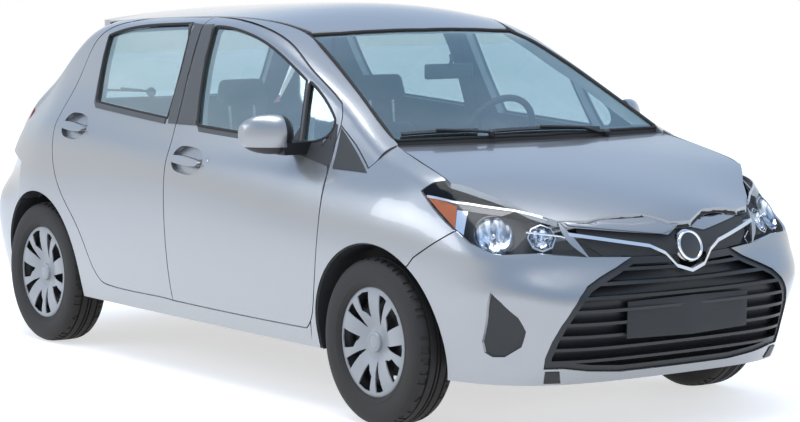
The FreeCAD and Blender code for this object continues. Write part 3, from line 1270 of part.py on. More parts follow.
def make_rear_axle():
    """Twist beam with trailing arms, stub hubs, springs and dampers."""
    beam_x = REAR_AXLE_X + BEAM_AHEAD
    beam = tube_between(Vec(beam_x, -TRAIL_Y, WHEEL_Z), Vec(beam_x, TRAIL_Y, WHEEL_Z), BEAM_RADIUS)
    pieces = []
    for side in (-1, 1):
        y = side * TRAIL_Y
        arm = box_between(REAR_AXLE_X - TRAIL_WIDTH, REAR_AXLE_X + TRAIL_PIVOT_AHEAD, y - TRAIL_WIDTH / 2,
                          y + TRAIL_WIDTH / 2, WHEEL_Z - TRAIL_WIDTH, WHEEL_Z + TRAIL_WIDTH / 2)
        inner_y = side * (REAR_TRACK / 2 + HUB_INNER - HUB_GAP)
        stub = tube_between(Vec(REAR_AXLE_X, y, WHEEL_Z), Vec(REAR_AXLE_X, inner_y, WHEEL_Z), BEARING_RADIUS)
        seat = Vec(REAR_AXLE_X + REAR_SPRING_AHEAD, side * REAR_SPRING_Y, WHEEL_Z + TRAIL_WIDTH / 2)
        pad = box_between(seat.x - SPRING_RADIUS, seat.x + BEAM_AHEAD - REAR_SPRING_AHEAD,
                          min(seat.y, y) - SPRING_RADIUS / 2, max(seat.y, y) + SPRING_RADIUS / 2,
                          seat.z - BALL_RADIUS, seat.z)
        spring = Part.makeCylinder(SPRING_RADIUS * 0.8, boot_floor_z() - FLOOR_WALL - seat.z - SEAT_GAP, seat)
        pieces += [arm, stub, pad, spring]
    return biggest(beam.fuse(pieces))


def boot_floor_z():
    """Height of the boot floor."""
    return FLOOR_PROFILE_SHARES[-1][1] * HEIGHT


def rear_panel_point(y, depth):
    """Point of the rear panel's plan, at a depth ahead of the tailgate's inner face."""
    return Vec(back_place(y, REAR_PANEL_TOP_SHARE * HEIGHT) + HATCH_WALL + depth, y, 0)


def rear_panel_line(depth):
    """Plan of one face of the rear panel, from side to side."""
    return [rear_panel_point(across * REAR_PANEL_HALF, depth) for across in ACROSS_SHARES]


def make_floor(side_cutter, tail_cutter, bonnet_grid, screen_grid, back):
    """Floor, footwell, rear seat pan, boot floor and bulkhead as one pressing."""
    top = side_points(FLOOR_PROFILE_SHARES)
    low = [p - Vec(0, 0, FLOOR_WALL) for p in top]
    low[0] = top[0] + Vec(FLOOR_WALL, 0, 0)
    low[1] = top[1] + Vec(FLOOR_WALL, 0, 0)
    outline = [p - Vec(0, FLOOR_HALF, 0) for p in top + list(reversed(low))]
    floor = polygon_prism(outline, Vec(0, 2 * FLOOR_HALF, 0))
    tank_x = station(FLOOR_PROFILE_SHARES[5][0]) + FLOOR_WALL
    tank_z = FLOOR_PROFILE_SHARES[4][1] * HEIGHT - FLOOR_WALL / 2
    tank_y = EXHAUST_Y - EXHAUST_RADIUS - TANK_CLEARANCE
    tank_low = tank_z - TANK_HEIGHT
    tank = box_between(tank_x, tank_x + TANK_LENGTH, tank_y - TANK_WIDTH, tank_y, tank_low, tank_z)
    floor = floor.fuse(tank)
    for x, inner_y in ((REAR_AXLE_X, REAR_LINER_INNER_Y), (FRONT_AXLE_X, FRONT_LINER_INNER_Y)):
        for near_y, far_y in ((-FLOOR_HALF - CUT_OVERRUN, -inner_y + SEAT_GAP),
                              (inner_y - SEAT_GAP, FLOOR_HALF + CUT_OVERRUN)):
            floor = floor.cut(axle_cylinder(ARCH_RADIUS, x, WHEEL_Z, near_y, far_y))
    floor = floor.cut(side_cutter)
    floor = floor.cut(to_left(side_cutter))
    floor = biggest(floor.cut(tail_cutter))
    reach = REAR_PANEL_HALF
    panel_top = REAR_PANEL_TOP_SHARE * HEIGHT
    seat_line = rear_panel_line(REAR_PANEL_GAP)
    inner_line = rear_panel_line(REAR_PANEL_GAP + FLOOR_WALL)
    behind = [Vec(-LENGTH, seat_line[-1].y, 0), Vec(-LENGTH, seat_line[0].y, 0)]
    floor = biggest(floor.cut(upright_prism(seat_line + behind)))
    panel = upright_prism(seat_line + list(reversed(inner_line)))
    panel = panel.common(box_between(-LENGTH, 0, -reach, reach, boot_floor_z() - FLOOR_WALL, panel_top))
    start, end = side_points(SCUTTLE_SHARES)
    start = start + Vec(FLOOR_WALL, 0, 0)
    outline = [start, end, end - Vec(0, 0, FLOOR_WALL), start - Vec(0, 0, FLOOR_WALL)]
    scuttle = polygon_prism([p - Vec(0, reach, 0) for p in outline], Vec(0, 2 * reach, 0))
    scuttle = scuttle.cut(skin(bonnet_grid, -CUT_OVERRUN, BRACKET_WALL + BONNET_WALL + SEAT_GAP))
    scuttle = biggest(scuttle.cut(skin(screen_grid, -CUT_OVERRUN, COWL_UPSTAND + SEAT_GAP)))
    pads = []
    back_cutter = skin(back, -CUT_OVERRUN, hatch_seat)
    for side in (-1, 1):
        start = rear_panel_point(side * HATCH_PAD_Y, REAR_PANEL_GAP + FLOOR_WALL / 2)
        start = start + Vec(0, 0, HATCH_PAD_Z_SHARE * HEIGHT)
        pad = Part.makeCylinder(HATCH_PAD_RADIUS, CUT_OVERRUN, start, Vec(-1, 0, 0))
        pads.append(biggest(pad.cut(back_cutter)))
    return biggest(floor.fuse([panel, scuttle] + pads))


def make_liner(x, inner_y, windows):
    """Right wheel housing: half drum with an inner wall."""
    outer_r = ARCH_RADIUS - SEAT_GAP
    drum = axle_cylinder(outer_r, x, WHEEL_Z, -HALF_WIDTH, -inner_y)
    hollow = axle_cylinder(outer_r - LINER_WALL, x, WHEEL_Z, -HALF_WIDTH - CUT_OVERRUN, -inner_y - LINER_WALL)
    liner = drum.cut(hollow)
    reach = 2 * ARCH_RADIUS
    liner = liner.cut(box_between(x - reach, x + reach, -2 * HALF_WIDTH, 0, 0, LINER_LOW_Z))
    for window in windows:
        liner = liner.cut(window)
    return liner


def make_wheel_liners(side_cutter, ring_cutter, tail_cutter):
    """Four wheel housings, the front ones with their strut towers."""
    low, top = kingpin_ends(-1)
    tower_low = along_strut(-1, TOWER_LOW_SHARE)
    tower_top = top + (top - low).normalize() * TOWER_WALL
    hole = tube_between(tower_low, tower_top, TOWER_RADIUS)
    window_y = -FRONT_LINER_INNER_Y - 2 * LINER_WALL
    window = box_between(FRONT_AXLE_X - ARM_WINDOW, FRONT_AXLE_X + ARM_WINDOW, window_y, 0, 0, ARM_WINDOW_TOP)
    front = make_liner(FRONT_AXLE_X, FRONT_LINER_INNER_Y, [hole, window])
    tower = tube_between(tower_low, tower_top, TOWER_RADIUS + TOWER_WALL)
    tower = tower.cut(tube_between(tower_low, top, TOWER_RADIUS))
    drum = axle_cylinder(ARCH_RADIUS - SEAT_GAP, FRONT_AXLE_X, WHEEL_Z, -HALF_WIDTH, -FRONT_LINER_INNER_Y)
    front = front.fuse(tower.cut(drum))
    front = biggest(front.cut(ring_cutter))
    hub_hole = axle_cylinder(BEARING_RADIUS + CUT_OVERRUN / 2, REAR_AXLE_X, WHEEL_Z,
                             -REAR_LINER_INNER_Y - 2 * LINER_WALL, 0)
    rear = make_liner(REAR_AXLE_X, REAR_LINER_INNER_Y, [hub_hole])
    rear = biggest(rear.cut(side_cutter).cut(tail_cutter))
    return joined([front, to_left(front), rear, to_left(rear)])


def profile_block(shares, width, centre_y):
    """Block across the car from a side profile."""
    outline = [p + Vec(0, centre_y - width / 2, 0) for p in side_points(shares)]
    return polygon_prism(outline, Vec(0, width, 0))


def make_front_seats():
    """Two front seats with head restraints and runners down to the floor."""
    seats = []
    floor_z = FLOOR_PROFILE_SHARES[2][1] * HEIGHT
    for side in (-1, 1):
        seat = profile_block(SEAT_SHARES, SEAT_WIDTH, side * SEAT_Y)
        split_z = HEADREST_SHARE * HEIGHT
        for near, far in ((-SEAT_WIDTH, -HEADREST_WIDTH / 2), (HEADREST_WIDTH / 2, SEAT_WIDTH)):
            seat = seat.cut(box_between(-LENGTH, LENGTH, side * SEAT_Y + near, side * SEAT_Y + far, split_z,
                                        HEIGHT))
        base = box_between(station(SEAT_SHARES[-1][0]), station(SEAT_SHARES[0][0]),
                           side * SEAT_Y - SEAT_BASE_WIDTH / 2, side * SEAT_Y + SEAT_BASE_WIDTH / 2,
                           floor_z + SEAT_GAP, SEAT_SHARES[0][1] * HEIGHT + FLOOR_WALL)
        seats.append(seat.fuse(base))
    return joined(seats)


def make_rear_seat():
    """Rear bench with its folding back and three low head restraints."""
    return profile_block(REAR_SEAT_SHARES, REAR_SEAT_WIDTH, 0.0)


def make_dashboard(cabin_cutter):
    """Instrument panel, centre console and steering column."""
    dash = profile_block(DASH_SHARES, DASH_WIDTH, 0.0)
    dash = dash.cut(cabin_cutter)
    dash = biggest(dash.cut(to_left(cabin_cutter)))
    console = profile_block(CONSOLE_SHARES, CONSOLE_WIDTH, 0.0)
    column = tube_between(column_point(COLUMN_LENGTH), column_point(COLUMN_GAP), COLUMN_RADIUS)
    shroud = tube_between(column_point(COLUMN_LENGTH), column_point(COLUMN_GAP * 2), COLUMN_SHROUD_RADIUS)
    return biggest(dash.fuse([console, column, shroud]))


def steering_axis():
    """Direction of the steering column, towards the driver."""
    tilt = math.radians(STEER_TILT)
    return Vec(-math.cos(tilt), 0, math.sin(tilt))


def column_point(distance):
    """Point on the column ahead of the steering wheel's centre."""
    centre = Vec(station(STEER_X_SHARE), SEAT_Y, STEER_Z_SHARE * HEIGHT)
    return centre - steering_axis() * distance


def make_steering_wheel():
    """Steering wheel with rim, hub and three spokes."""
    axis = steering_axis()
    centre = column_point(0)
    rim = Part.makeTorus(STEER_RADIUS - STEER_TUBE, STEER_TUBE, centre, axis)
    hub = tube_between(column_point(COLUMN_GAP - SEAT_GAP), column_point(0) + axis * STEER_TUBE,
                       COLUMN_SHROUD_RADIUS)
    spokes = []
    spoke_length = STEER_RADIUS - STEER_TUBE
    across = Vec(0, 1, 0)
    down = axis.cross(across)
    if down.z > 0:
        down = down * -1
    for direction in (across, across * -1, down):
        spokes.append(tube_between(centre, centre + direction * spoke_length, STEER_TUBE * SPOKE_SHARE))
    return rim.fuse([hub] + spokes)


def make_mirror(grid):
    """Right door mirror: housing on a foot that stands on the door."""
    x0 = station(MIRROR_X_SHARE)
    z0 = MIRROR_Z_SHARE * HEIGHT
    wires = []
    for share, wide, tall in MIRROR_SECTION_SHARES:
        y = MIRROR_INNER_Y + share * (MIRROR_OUTER_Y - MIRROR_INNER_Y)
        centre = Vec(x0 - share * share * MIRROR_RAKE, -y, z0)
        ellipse = Part.Ellipse(centre + Vec(0, 0, MIRROR_HEIGHT * tall / 2),
                               centre + Vec(MIRROR_DEPTH * wide / 2, 0, 0), centre)
        wires.append(Part.Wire(ellipse.toShape()))
    housing = Part.makeLoft(wires, True)
    low = z0 - MIRROR_HEIGHT * MIRROR_LOW_SHARE
    inner_y = half_width(x0, low) - DOOR_WALL / 2
    foot = box_between(x0 - MIRROR_FOOT_LENGTH / 2, x0 + MIRROR_FOOT_LENGTH / 2, -MIRROR_FOOT_Y, -inner_y,
                       low - MIRROR_FOOT_HEIGHT / 2, low + MIRROR_FOOT_HEIGHT / 2)
    cutter = skin(grid, -MIRROR_SEAT, DOOR_WALL)
    return biggest(housing.fuse(foot).cut(cutter))


def make_wipers(grid):
    """Two wiper arms lying on the windscreen."""
    slab = skin(grid, -GLASS_GAP - WIPER_HEIGHT, -GLASS_GAP)
    arms = []
    for pivot, tip in WIPER_SHARES:
        points = []
        for (s, y), half in ((pivot, WIPER_WIDTH), (tip, WIPER_WIDTH * WIPER_TIP_SHARE)):
            points.append((Vec(station(s), y * HALF_WIDTH, 0), half))
        along = points[1][0] - points[0][0]
        along.normalize()
        across = Vec(-along.y, along.x, 0)
        outline = [points[0][0] - across * points[0][1], points[1][0] - across * points[1][1],
                   points[1][0] + across * points[1][1], points[0][0] + across * points[0][1]]
        arms.append(biggest(slab.common(upright_prism(outline))))
    return joined(arms)


def make_engine():
    """Engine and gearbox as one plain block."""
    x = station(ENGINE_X_SHARE)
    return box_between(x - ENGINE_LENGTH / 2, x + ENGINE_LENGTH / 2, -ENGINE_WIDTH / 2, ENGINE_WIDTH / 2,
                       ENGINE_Z, ENGINE_Z + ENGINE_HEIGHT)


def make_exhaust():
    """Pipe under the floor and rear silencer."""
    pipe_z = FLOOR_PROFILE_SHARES[2][1] * HEIGHT - FLOOR_WALL - EXHAUST_RADIUS - GLASS_GAP
    front = Vec(station(0.84), EXHAUST_Y, pipe_z)
    rear = Vec(station(-0.98), EXHAUST_Y, pipe_z)
    box_x = station(-1.45)
    silencer = box_between(box_x - MUFFLER_LENGTH / 2, box_x + MUFFLER_LENGTH / 2, -MUFFLER_WIDTH / 2,
                           MUFFLER_WIDTH / 2, MUFFLER_Z - MUFFLER_HEIGHT / 2, MUFFLER_Z + MUFFLER_HEIGHT / 2)
    pipe = tube_between(front, rear, EXHAUST_RADIUS)
    rise = tube_between(rear, Vec(box_x, EXHAUST_Y, MUFFLER_Z), EXHAUST_RADIUS)
    return biggest(silencer.fuse([pipe, rise]))


def make_cowl(bonnet_grid, screen_grid, side_cutter, ring_cutter):
    """Black panel between the bonnet and the windscreen."""
    slab = skin(bonnet_grid, BRACKET_WALL, BRACKET_WALL + BONNET_WALL)
    rear = [Vec(station(s), -y * HALF_WIDTH, 0) for s, y in SCREEN_SHARES if s > COWL_FROM_SHARE]
    front = [Vec(station(s) - PANEL_GAP / 2, -y * HALF_WIDTH, 0) for s, y in BONNET_SHARES[:4]]
    outline = rear + mirrored(reversed(rear[:-1])) + mirrored(reversed(front)) + front[1:]
    panel = biggest(slab.common(upright_prism(outline)))
    lap = [p - Vec(COWL_LAP, 0, 0) for p in rear]
    front_lap = [p + Vec(PANEL_GAP, 0, 0) for p in rear]
    lap_outline = lap + mirrored(reversed(lap[:-1])) + mirrored(front_lap) + list(reversed(front_lap[:-1]))
    upstand = skin(screen_grid, GLASS_WALL + GLASS_GAP, COWL_UPSTAND).common(upright_prism(lap_outline))
    cowl = panel.fuse(biggest(upstand))
    cowl = cowl.cut(side_cutter)
    cowl = cowl.cut(to_left(side_cutter))
    return biggest(cowl.cut(ring_cutter))


def write_all():
    """Write one STEP file per node."""
    os.makedirs("parts", exist_ok=True)
    side = side_grid()
    nose = nose_grid()
    tail = tail_grid()
    bonnet = cover_grid(BONNET_STATION_SHARES, BONNET_REACH_SHARE, bonnet_height)
    screen = cover_grid(SCREEN_STATION_SHARES, SCREEN_REACH_SHARE, screen_height)
    roof = cover_grid(ROOF_STATION_SHARES, ROOF_REACH_SHARE, roof_height)
    back = back_grid()
    ring = skin(nose, 0, BUMPER_WALL)
    tail_ring = skin(tail, 0, BUMPER_WALL)
    side_cutter = skin(side, -CUT_OVERRUN, wall_seat)
    side_cutter = side_cutter.cut(panel_cut(side_points(TAIL_TRIM_SHARES)))
    ring_cutter = skin(nose, -CUT_OVERRUN, BUMPER_WALL + SEAT_GAP)
    tail_cutter = skin(tail, -CUT_OVERRUN, BUMPER_WALL + SEAT_GAP)
    front_windows = ((FRONT_WINDOW_SHARES, FRONT_WINDOW_CORNERS),
                     (QUARTER_WINDOW_SHARES, QUARTER_WINDOW_CORNERS))
    rear_windows = ((REAR_WINDOW_SHARES, REAR_WINDOW_CORNERS),)
    lid_cutter = bonnet_cutter(bonnet)
    nodes = {}
    nodes["body_side_right"] = make_body_side(side, nose, lid_cutter)
    nodes["front_door_right"] = make_door(side, FRONT_DOOR_SHARES, FRONT_DOOR_CORNERS, front_windows,
                                          HANDLE_SHARES[0])
    nodes["rear_door_right"] = make_door(side, REAR_DOOR_SHARES, REAR_DOOR_CORNERS, rear_windows,
                                         HANDLE_SHARES[1])
    nodes["front_door_glass_right"] = make_door_glass(side, front_windows)
    nodes["rear_door_glass_right"] = make_door_glass(side, rear_windows)
    nodes["mirror_right"] = make_mirror(side)
    nodes["front_knuckle_right"] = make_knuckle(-1)
    for name in list(nodes):
        nodes[name.replace("right", "left")] = to_left(nodes[name])
    nodes["fenders"] = make_fenders(ring, lid_cutter)
    nodes["front_bumper"] = make_front_bumper(ring, lid_cutter)
    nodes["lower_grille"] = make_lower_grille(nose)
    nodes["upper_grille"] = make_upper_grille(nose, lid_cutter)
    nodes["grille_trim"] = make_grille_trim(nose)
    nodes["headlamps"] = make_headlamps(nose, lid_cutter)
    nodes["bonnet"] = make_bonnet(bonnet)
    nodes["cowl"] = make_cowl(bonnet, screen, side_cutter, ring_cutter)
    nodes["windscreen"] = make_windscreen(screen)
    nodes["wipers"] = make_wipers(screen)
    nodes["roof_panel"] = make_roof(roof)
    nodes["roof_mouldings"] = make_roof_mouldings(roof, side_cutter)
    nodes["hatch"] = make_hatch(back, roof)
    nodes["hatch_glass"] = make_hatch_glass(back)
    nodes["tail_lamps"] = make_tail_lamps(tail)
    nodes["rear_bumper"] = make_rear_bumper(tail_ring)
    nodes["rear_corners"] = make_quarter_corners(tail_ring)
    nodes["floor_pan"] = make_floor(side_cutter, tail_cutter, bonnet, screen, back)
    nodes["wheel_liners"] = make_wheel_liners(side_cutter, ring_cutter, tail_cutter)
    nodes["front_seats"] = make_front_seats()
    nodes["rear_seat"] = make_rear_seat()
    nodes["dashboard"] = make_dashboard(skin(side, -CUT_OVERRUN, cabin_seat))
    nodes["steering_wheel"] = make_steering_wheel()
    nodes["engine_block"] = make_engine()
    nodes["front_suspension"] = make_front_suspension()
    nodes["rear_axle"] = make_rear_axle()
    nodes["exhaust"] = make_exhaust()
    for name, x, track in (("front", FRONT_AXLE_X, FRONT_TRACK), ("rear", REAR_AXLE_X, REAR_TRACK)):
        for hand, sign in (("right", -1), ("left", 1)):
            nodes[f"{name}_tyre_{hand}"] = make_tyre(x, sign * track / 2)
            nodes[f"{name}_wheel_{hand}"] = make_wheel(x, sign * track / 2, sign)
    for name, shape in nodes.items():
        shape.exportStep(f"parts/{name}.step")
    return nodes


def cabin_seat(point):
    """Depth clear of the body side and the doors."""
    return max(body_depth(point), door_depth(point)) + 2 * PANEL_GAP


def wall_seat(point):
    """Depth just past the body side's inner face."""
    return body_depth(point) + SEAT_GAP


NODES = write_all()
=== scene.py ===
import logging
import math
from dataclasses import dataclass
from typing import Any, Callable, Iterable, Optional, Sequence, Union

import bmesh
import bpy
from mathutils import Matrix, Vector
from mathutils.bvhtree import BVHTree


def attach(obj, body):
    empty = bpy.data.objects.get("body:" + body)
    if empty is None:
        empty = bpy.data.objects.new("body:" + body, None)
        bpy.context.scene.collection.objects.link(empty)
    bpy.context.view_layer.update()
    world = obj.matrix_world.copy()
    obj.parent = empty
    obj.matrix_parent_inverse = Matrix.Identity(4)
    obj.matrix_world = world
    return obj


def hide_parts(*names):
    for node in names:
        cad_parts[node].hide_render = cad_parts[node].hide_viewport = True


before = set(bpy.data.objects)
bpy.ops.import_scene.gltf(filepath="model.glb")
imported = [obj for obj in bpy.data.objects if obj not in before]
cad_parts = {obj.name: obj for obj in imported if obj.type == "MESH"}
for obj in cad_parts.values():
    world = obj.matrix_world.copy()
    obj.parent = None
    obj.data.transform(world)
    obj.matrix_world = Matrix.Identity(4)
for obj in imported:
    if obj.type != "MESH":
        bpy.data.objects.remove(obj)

LOG = logging.getLogger("hatchback")
Number = Union[int, float]
Colour = tuple[float, float, float]
Place = tuple[float, float, float]
Pair = tuple[float, float]
Spot = Union[Vector, Place]

HEIGHT = 1.490
FRONT_AXLE = 1.175
REAR_AXLE = -1.335
HANDS = (("right", -1.0), ("left", 1.0))
AHEAD = Vector((1.0, 0.0, 0.0))
ASTERN = Vector((-1.0, 0.0, 0.0))
LEFTWARD = Vector((0.0, 1.0, 0.0))
RIGHTWARD = Vector((0.0, -1.0, 0.0))
DOWN = Vector((0.0, 0.0, -1.0))
SIGHT_START = 4.0
WELD = 1e-5
FINE_WELD = 1e-6
SEAM_WELD = 1e-7
TINY = 1e-9
RIM_SLANT = 0.45
SHORT_LOOP = 8
FLAKE_SCALE = 2600.0
FINISHES: dict[str, bpy.types.Material] = {}


def side_place(share: float, height_share: float) -> Vector:
    """A place in the side view, from a station share, with the axles at 1 and -1, and a height share."""
    station = (FRONT_AXLE + REAR_AXLE) / 2 + share * (FRONT_AXLE - REAR_AXLE) / 2
    return Vector((station, 0.0, height_share * HEIGHT))


def spread(low: float, high: float, count: int) -> list[float]:
    """Numbers at equal steps from low to high, both included."""
    return [low + (high - low) * step / (count - 1) for step in range(count)]


def evenly(points: Sequence[Spot], count: int, closed: bool = False) -> list[Vector]:
    """Spreads points evenly along a line.

    Args:
        points: The line's corners.
        count: How many points to return.
        closed: Whether the last corner joins the first.

    Returns:
        Points at equal distances.
    """
    line = [Vector(point) for point in points]
    if closed:
        line.append(line[0])
    marks = [0.0]
    for start, end in zip(line, line[1:]):
        marks.append(marks[-1] + (end - start).length)
    gaps = count if closed else count - 1
    made = []
    for step in range(count):
        goal = marks[-1] * step / gaps
        index = max(i for i in range(len(line) - 1) if marks[i] <= goal + TINY)
        share = (goal - marks[index]) / max(marks[index + 1] - marks[index], TINY)
        made.append(line[index].lerp(line[index + 1], share))
    return made


def side_line(corners: Sequence[Pair], count: int) -> list[Vector]:
    """An even line in the side view, from station and height shares."""
    return evenly([side_place(*corner) for corner in corners], count)


def plate_loops(node: str, outward: Vector) -> list[list[Vector]]:
    """Edge loops round the outer faces of the plates in a CAD node.

    Args:
        node: The node's name.
        outward: The way in which the outer faces look.

    Returns:
        Ordered points of each loop, the longest loop first.
    """
    mesh = bmesh.new()
    mesh.from_mesh(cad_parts[node].data)
    bmesh.ops.remove_doubles(mesh, verts=mesh.verts, dist=WELD)
    mesh.normal_update()
    near: dict[int, list[int]] = {}
    for edge in mesh.edges:
        if len(edge.link_faces) == 2:
            sides = [face.normal.dot(outward) > RIM_SLANT for face in edge.link_faces]
            if sides[0] != sides[1]:
                first, second = (vert.index for vert in edge.verts)
                near.setdefault(first, []).append(second)
                near.setdefault(second, []).append(first)
    places = [vert.co.copy() for vert in mesh.verts]
    mesh.free()
    loops = []
    left = set(near)
    while left:
        here = min(left)
        chain = []
        while here is not None:
            chain.append(here)
            left.discard(here)
            here = next((other for other in near[here] if other in left), None)
        if len(chain) > SHORT_LOOP:
            loops.append([places[index] for index in chain])
    return sorted(loops, key=lambda loop: -sum((a - b).length for a, b in zip(loop, loop[1:])))


def edge_at(loop: Sequence[Vector], axis: int, value: float, far: bool) -> float:
    """Where a loop crosses a line in the side view.

    Args:
        loop: The loop's points.
        axis: 0 for an upright line at X = value, 2 for a level line at Z = value.
        value: The line's place.
        far: Whether the greater crossing is wanted.

    Returns:
        The other coordinate of the crossing.
    """
    other = 2 - axis
    found = []
    for start, end in zip(loop, list(loop[1:]) + [loop[0]]):
        if (start[axis] - value) * (end[axis] - value) <= 0.0 and start[axis] != end[axis]:
            share = (value - start[axis]) / (end[axis] - start[axis])
            found.append(start[other] + share * (end[other] - start[other]))
    return max(found) if far else min(found)


class Skin:
    """Outer faces of CAD nodes, on which flat outlines are laid."""

    def __init__(self, *starts: str, reach: float = 0.8) -> None:
        """Collects the faces.

        Args:
            *starts: Starts of the nodes' names.
            reach: How far out the nearest face is sought for a place that no line of sight finds.
        """
        corners: list[Vector] = []
        faces: list[tuple[int, ...]] = []
        for name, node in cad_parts.items():
            if name.startswith(starts):
                base = len(corners)
                corners.extend(vert.co.copy() for vert in node.data.vertices)
                faces.extend(tuple(base + i for i in face.vertices) for face in node.data.polygons)
        self.tree = BVHTree.FromPolygons(corners, faces)
        self.reach = reach

    def lay(self, place: Vector, inward: Vector, rise: float = 0.0) -> Vector:
        """Lays one place on the faces.

        Args:
            place: Any place on the line of sight.
            inward: The way in which the line of sight runs.
            rise: How far the place stands off the face.

        Returns:
            The place on the first face that is met.
        """
        hit, normal, _, _ = self.tree.ray_cast(place - inward * SIGHT_START, inward)
        if hit is None:
            hit, normal, _, _ = self.tree.find_nearest(place - inward * self.reach)
        if normal.dot(inward) > 0.0:
            normal = -normal
        return hit + normal * rise

    def line(self, places: Iterable[Vector], inward: Vector, rise: float = 0.0) -> list[Vector]:
        """Lays a line of places on the faces."""
        return [self.lay(place, inward, rise) for place in places]


class Bench:
    """One piece on the modelling bench, shaped with Blender's own tools."""

    def __init__(self, name: str) -> None:
        """Names the piece."""
        self.name = name
        self.piece: Any = None

    def start(self, add: Callable[..., Any], **settings: Any) -> "Bench":
        """Adds a primitive at its size and place.

        Args:
            add: Blender's own operator for the primitive.
            **settings: Its settings.

        Returns:
            This bench.
        """
        bpy.ops.object.select_all(action="DESELECT")
        add(**settings)
        self.piece = bpy.context.object
        self.piece.name = self.name
        self.piece.data.name = self.name
        bpy.ops.object.transform_apply(location=True, rotation=True, scale=True)
        return self

    def wake(self) -> None:
        """Makes the piece the only selected one."""
        bpy.ops.object.select_all(action="DESELECT")
        self.piece.select_set(True)
        bpy.context.view_layer.objects.active = self.piece

    def open(self) -> None:
        """Goes into edit mode with everything selected."""
        self.wake()
        bpy.ops.object.mode_set(mode="EDIT")
        bpy.ops.mesh.select_mode(type="VERT")
        bpy.ops.mesh.select_all(action="SELECT")

    def shut(self) -> None:
        """Leaves edit mode."""
        bpy.ops.object.mode_set(mode="OBJECT")

    def pick(self, kind: str, test: Callable[[Any], bool]) -> None:
        """Selects parts of the mesh by their place or normal, in edit mode.

        Args:
            kind: VERT, EDGE or FACE.
            test: Whether a part is wanted.
        """
        bpy.ops.mesh.select_mode(type=kind)
        bpy.ops.mesh.select_all(action="DESELECT")
        mesh = bmesh.from_edit_mesh(self.piece.data)
        groups = {"VERT": mesh.verts, "EDGE": mesh.edges, "FACE": mesh.faces}
        for part in groups[kind]:
            if test(part):
                part.select_set(True)
        mesh.select_flush_mode()
        bmesh.update_edit_mesh(self.piece.data)

    def modify(self, kind: str, **settings: Any) -> "Bench":
        """Adds a modifier and applies it.

        Args:
            kind: Blender's modifier type.
            **settings: Its settings.

        Returns:
            This bench.
        """
        self.wake()
        modifier = self.piece.modifiers.new(kind.lower(), kind)
        for key, value in settings.items():
            setattr(modifier, key, value)
        bpy.ops.object.modifier_apply(modifier=modifier.name)
        return self

    def turn(self, profile: Sequence[tuple[float, float]], centre: Vector, axis: Vector,
             steps: int = 64, closed: bool = False, cap: bool = False) -> "Bench":
        """Turns a profile round an axis, ring by ring, as on a lathe.

        Args:
            profile: Radius of each ring and its distance along the axis.
            centre: The axis's start.
            axis: The axis's direction.
            steps: Corners of a ring.
            closed: Whether the last ring joins the first.
            cap: Whether the last ring is filled.

        Returns:
            This bench.
        """
        way = axis.normalized()
        radius, depth = profile[0]
        turned = way.to_track_quat("Z", "Y").to_euler()
        self.start(bpy.ops.mesh.primitive_circle_add, vertices=steps, radius=radius,
                   location=centre + way * depth, rotation=turned)
        self.open()
        for next_radius, next_depth in profile[1:]:
            bpy.ops.mesh.extrude_region_move(
                TRANSFORM_OT_translate={"value": way * (next_depth - depth)})
            ratio = next_radius / radius
            bpy.ops.transform.resize(value=(ratio, ratio, ratio), center_override=centre + way * next_depth)
            radius, depth = next_radius, next_depth
        if cap:
            bpy.ops.mesh.edge_face_add()
        self.shut()
        return self.outward(WELD if closed else 0.0)

    def plate(self, corners: Sequence[Vector], pull: Vector) -> "Bench":
        """Fills an outline and pulls it out to a plate.

        Args:
            corners: The outline.
            pull: How far and which way it is pulled.

        Returns:
            This bench.
        """
        self.start(bpy.ops.mesh.primitive_circle_add, vertices=len(corners), radius=1.0, fill_type="NGON")
        for vert, corner in zip(self.piece.data.vertices, corners):
            vert.co = corner
        self.open()
        bpy.ops.mesh.extrude_region_move(TRANSFORM_OT_translate={"value": pull})
        self.shut()
        return self.outward()

    def patch(self, first: Sequence[Vector], second: Sequence[Vector],
              skin: Optional[Skin] = None, inward: Optional[Vector] = None, rise: float = 0.0,
              across: int = 3) -> "Bench":
        """Spreads a grid between two lines of equal count, laid on a skin if one is given.

        Args:
            first: The first line.
            second: The second line.
            skin: The faces that carry the patch.
            inward: The line of sight onto them.
            rise: How far it stands off them.
            across: Faces from line to line.

        Returns:
            This bench.
        """
        last = len(first) - 1
        self.start(bpy.ops.mesh.primitive_grid_add, x_subdivisions=last, y_subdivisions=across, size=1.0)
        for vert in self.piece.data.vertices:
            row = round((vert.co.x + 0.5) * last)
            place = first[row].lerp(second[row], vert.co.y + 0.5)
            vert.co = skin.lay(place, inward, rise) if skin else place
        return self

    def sheet(self, first: Sequence[Vector], second: Sequence[Vector], thickness: float, offset: float = 1.0,
              round_by: float = 0.0, **laying: Any) -> "Bench":
        """Spreads a patch, turns it outwards and gives it its thickness."""
        self.patch(first, second, **laying).outward().wall(thickness, offset)
        return self.soften(round_by) if round_by else self

    def tube(self, points: Sequence[Spot], radius: float, closed: bool = False) -> "Bench":
        """Draws a round bar along a line.

        Args:
            points: The line.
            radius: The bar's radius.
            closed: Whether the line is a ring.

        Returns:
            This bench.
        """
        self.start(bpy.ops.curve.primitive_nurbs_path_add)
        curve = self.piece.data
        curve.splines.clear()
        spline = curve.splines.new("POLY")
        spline.points.add(len(points) - 1)
        for point, place in zip(spline.points, points):
            point.co = (*place, 1.0)
        spline.use_cyclic_u = closed
        curve.bevel_depth = radius
        curve.bevel_resolution = 2
        curve.use_fill_caps = True
        self.wake()
        bpy.ops.object.convert(target="MESH")
        self.piece = bpy.context.object
        return self.outward(FINE_WELD)

    def wall(self, thickness: float, offset: float = 1.0) -> "Bench":
        """Gives a sheet its thickness."""
        return self.modify("SOLIDIFY", thickness=thickness, offset=offset, use_even_offset=False)

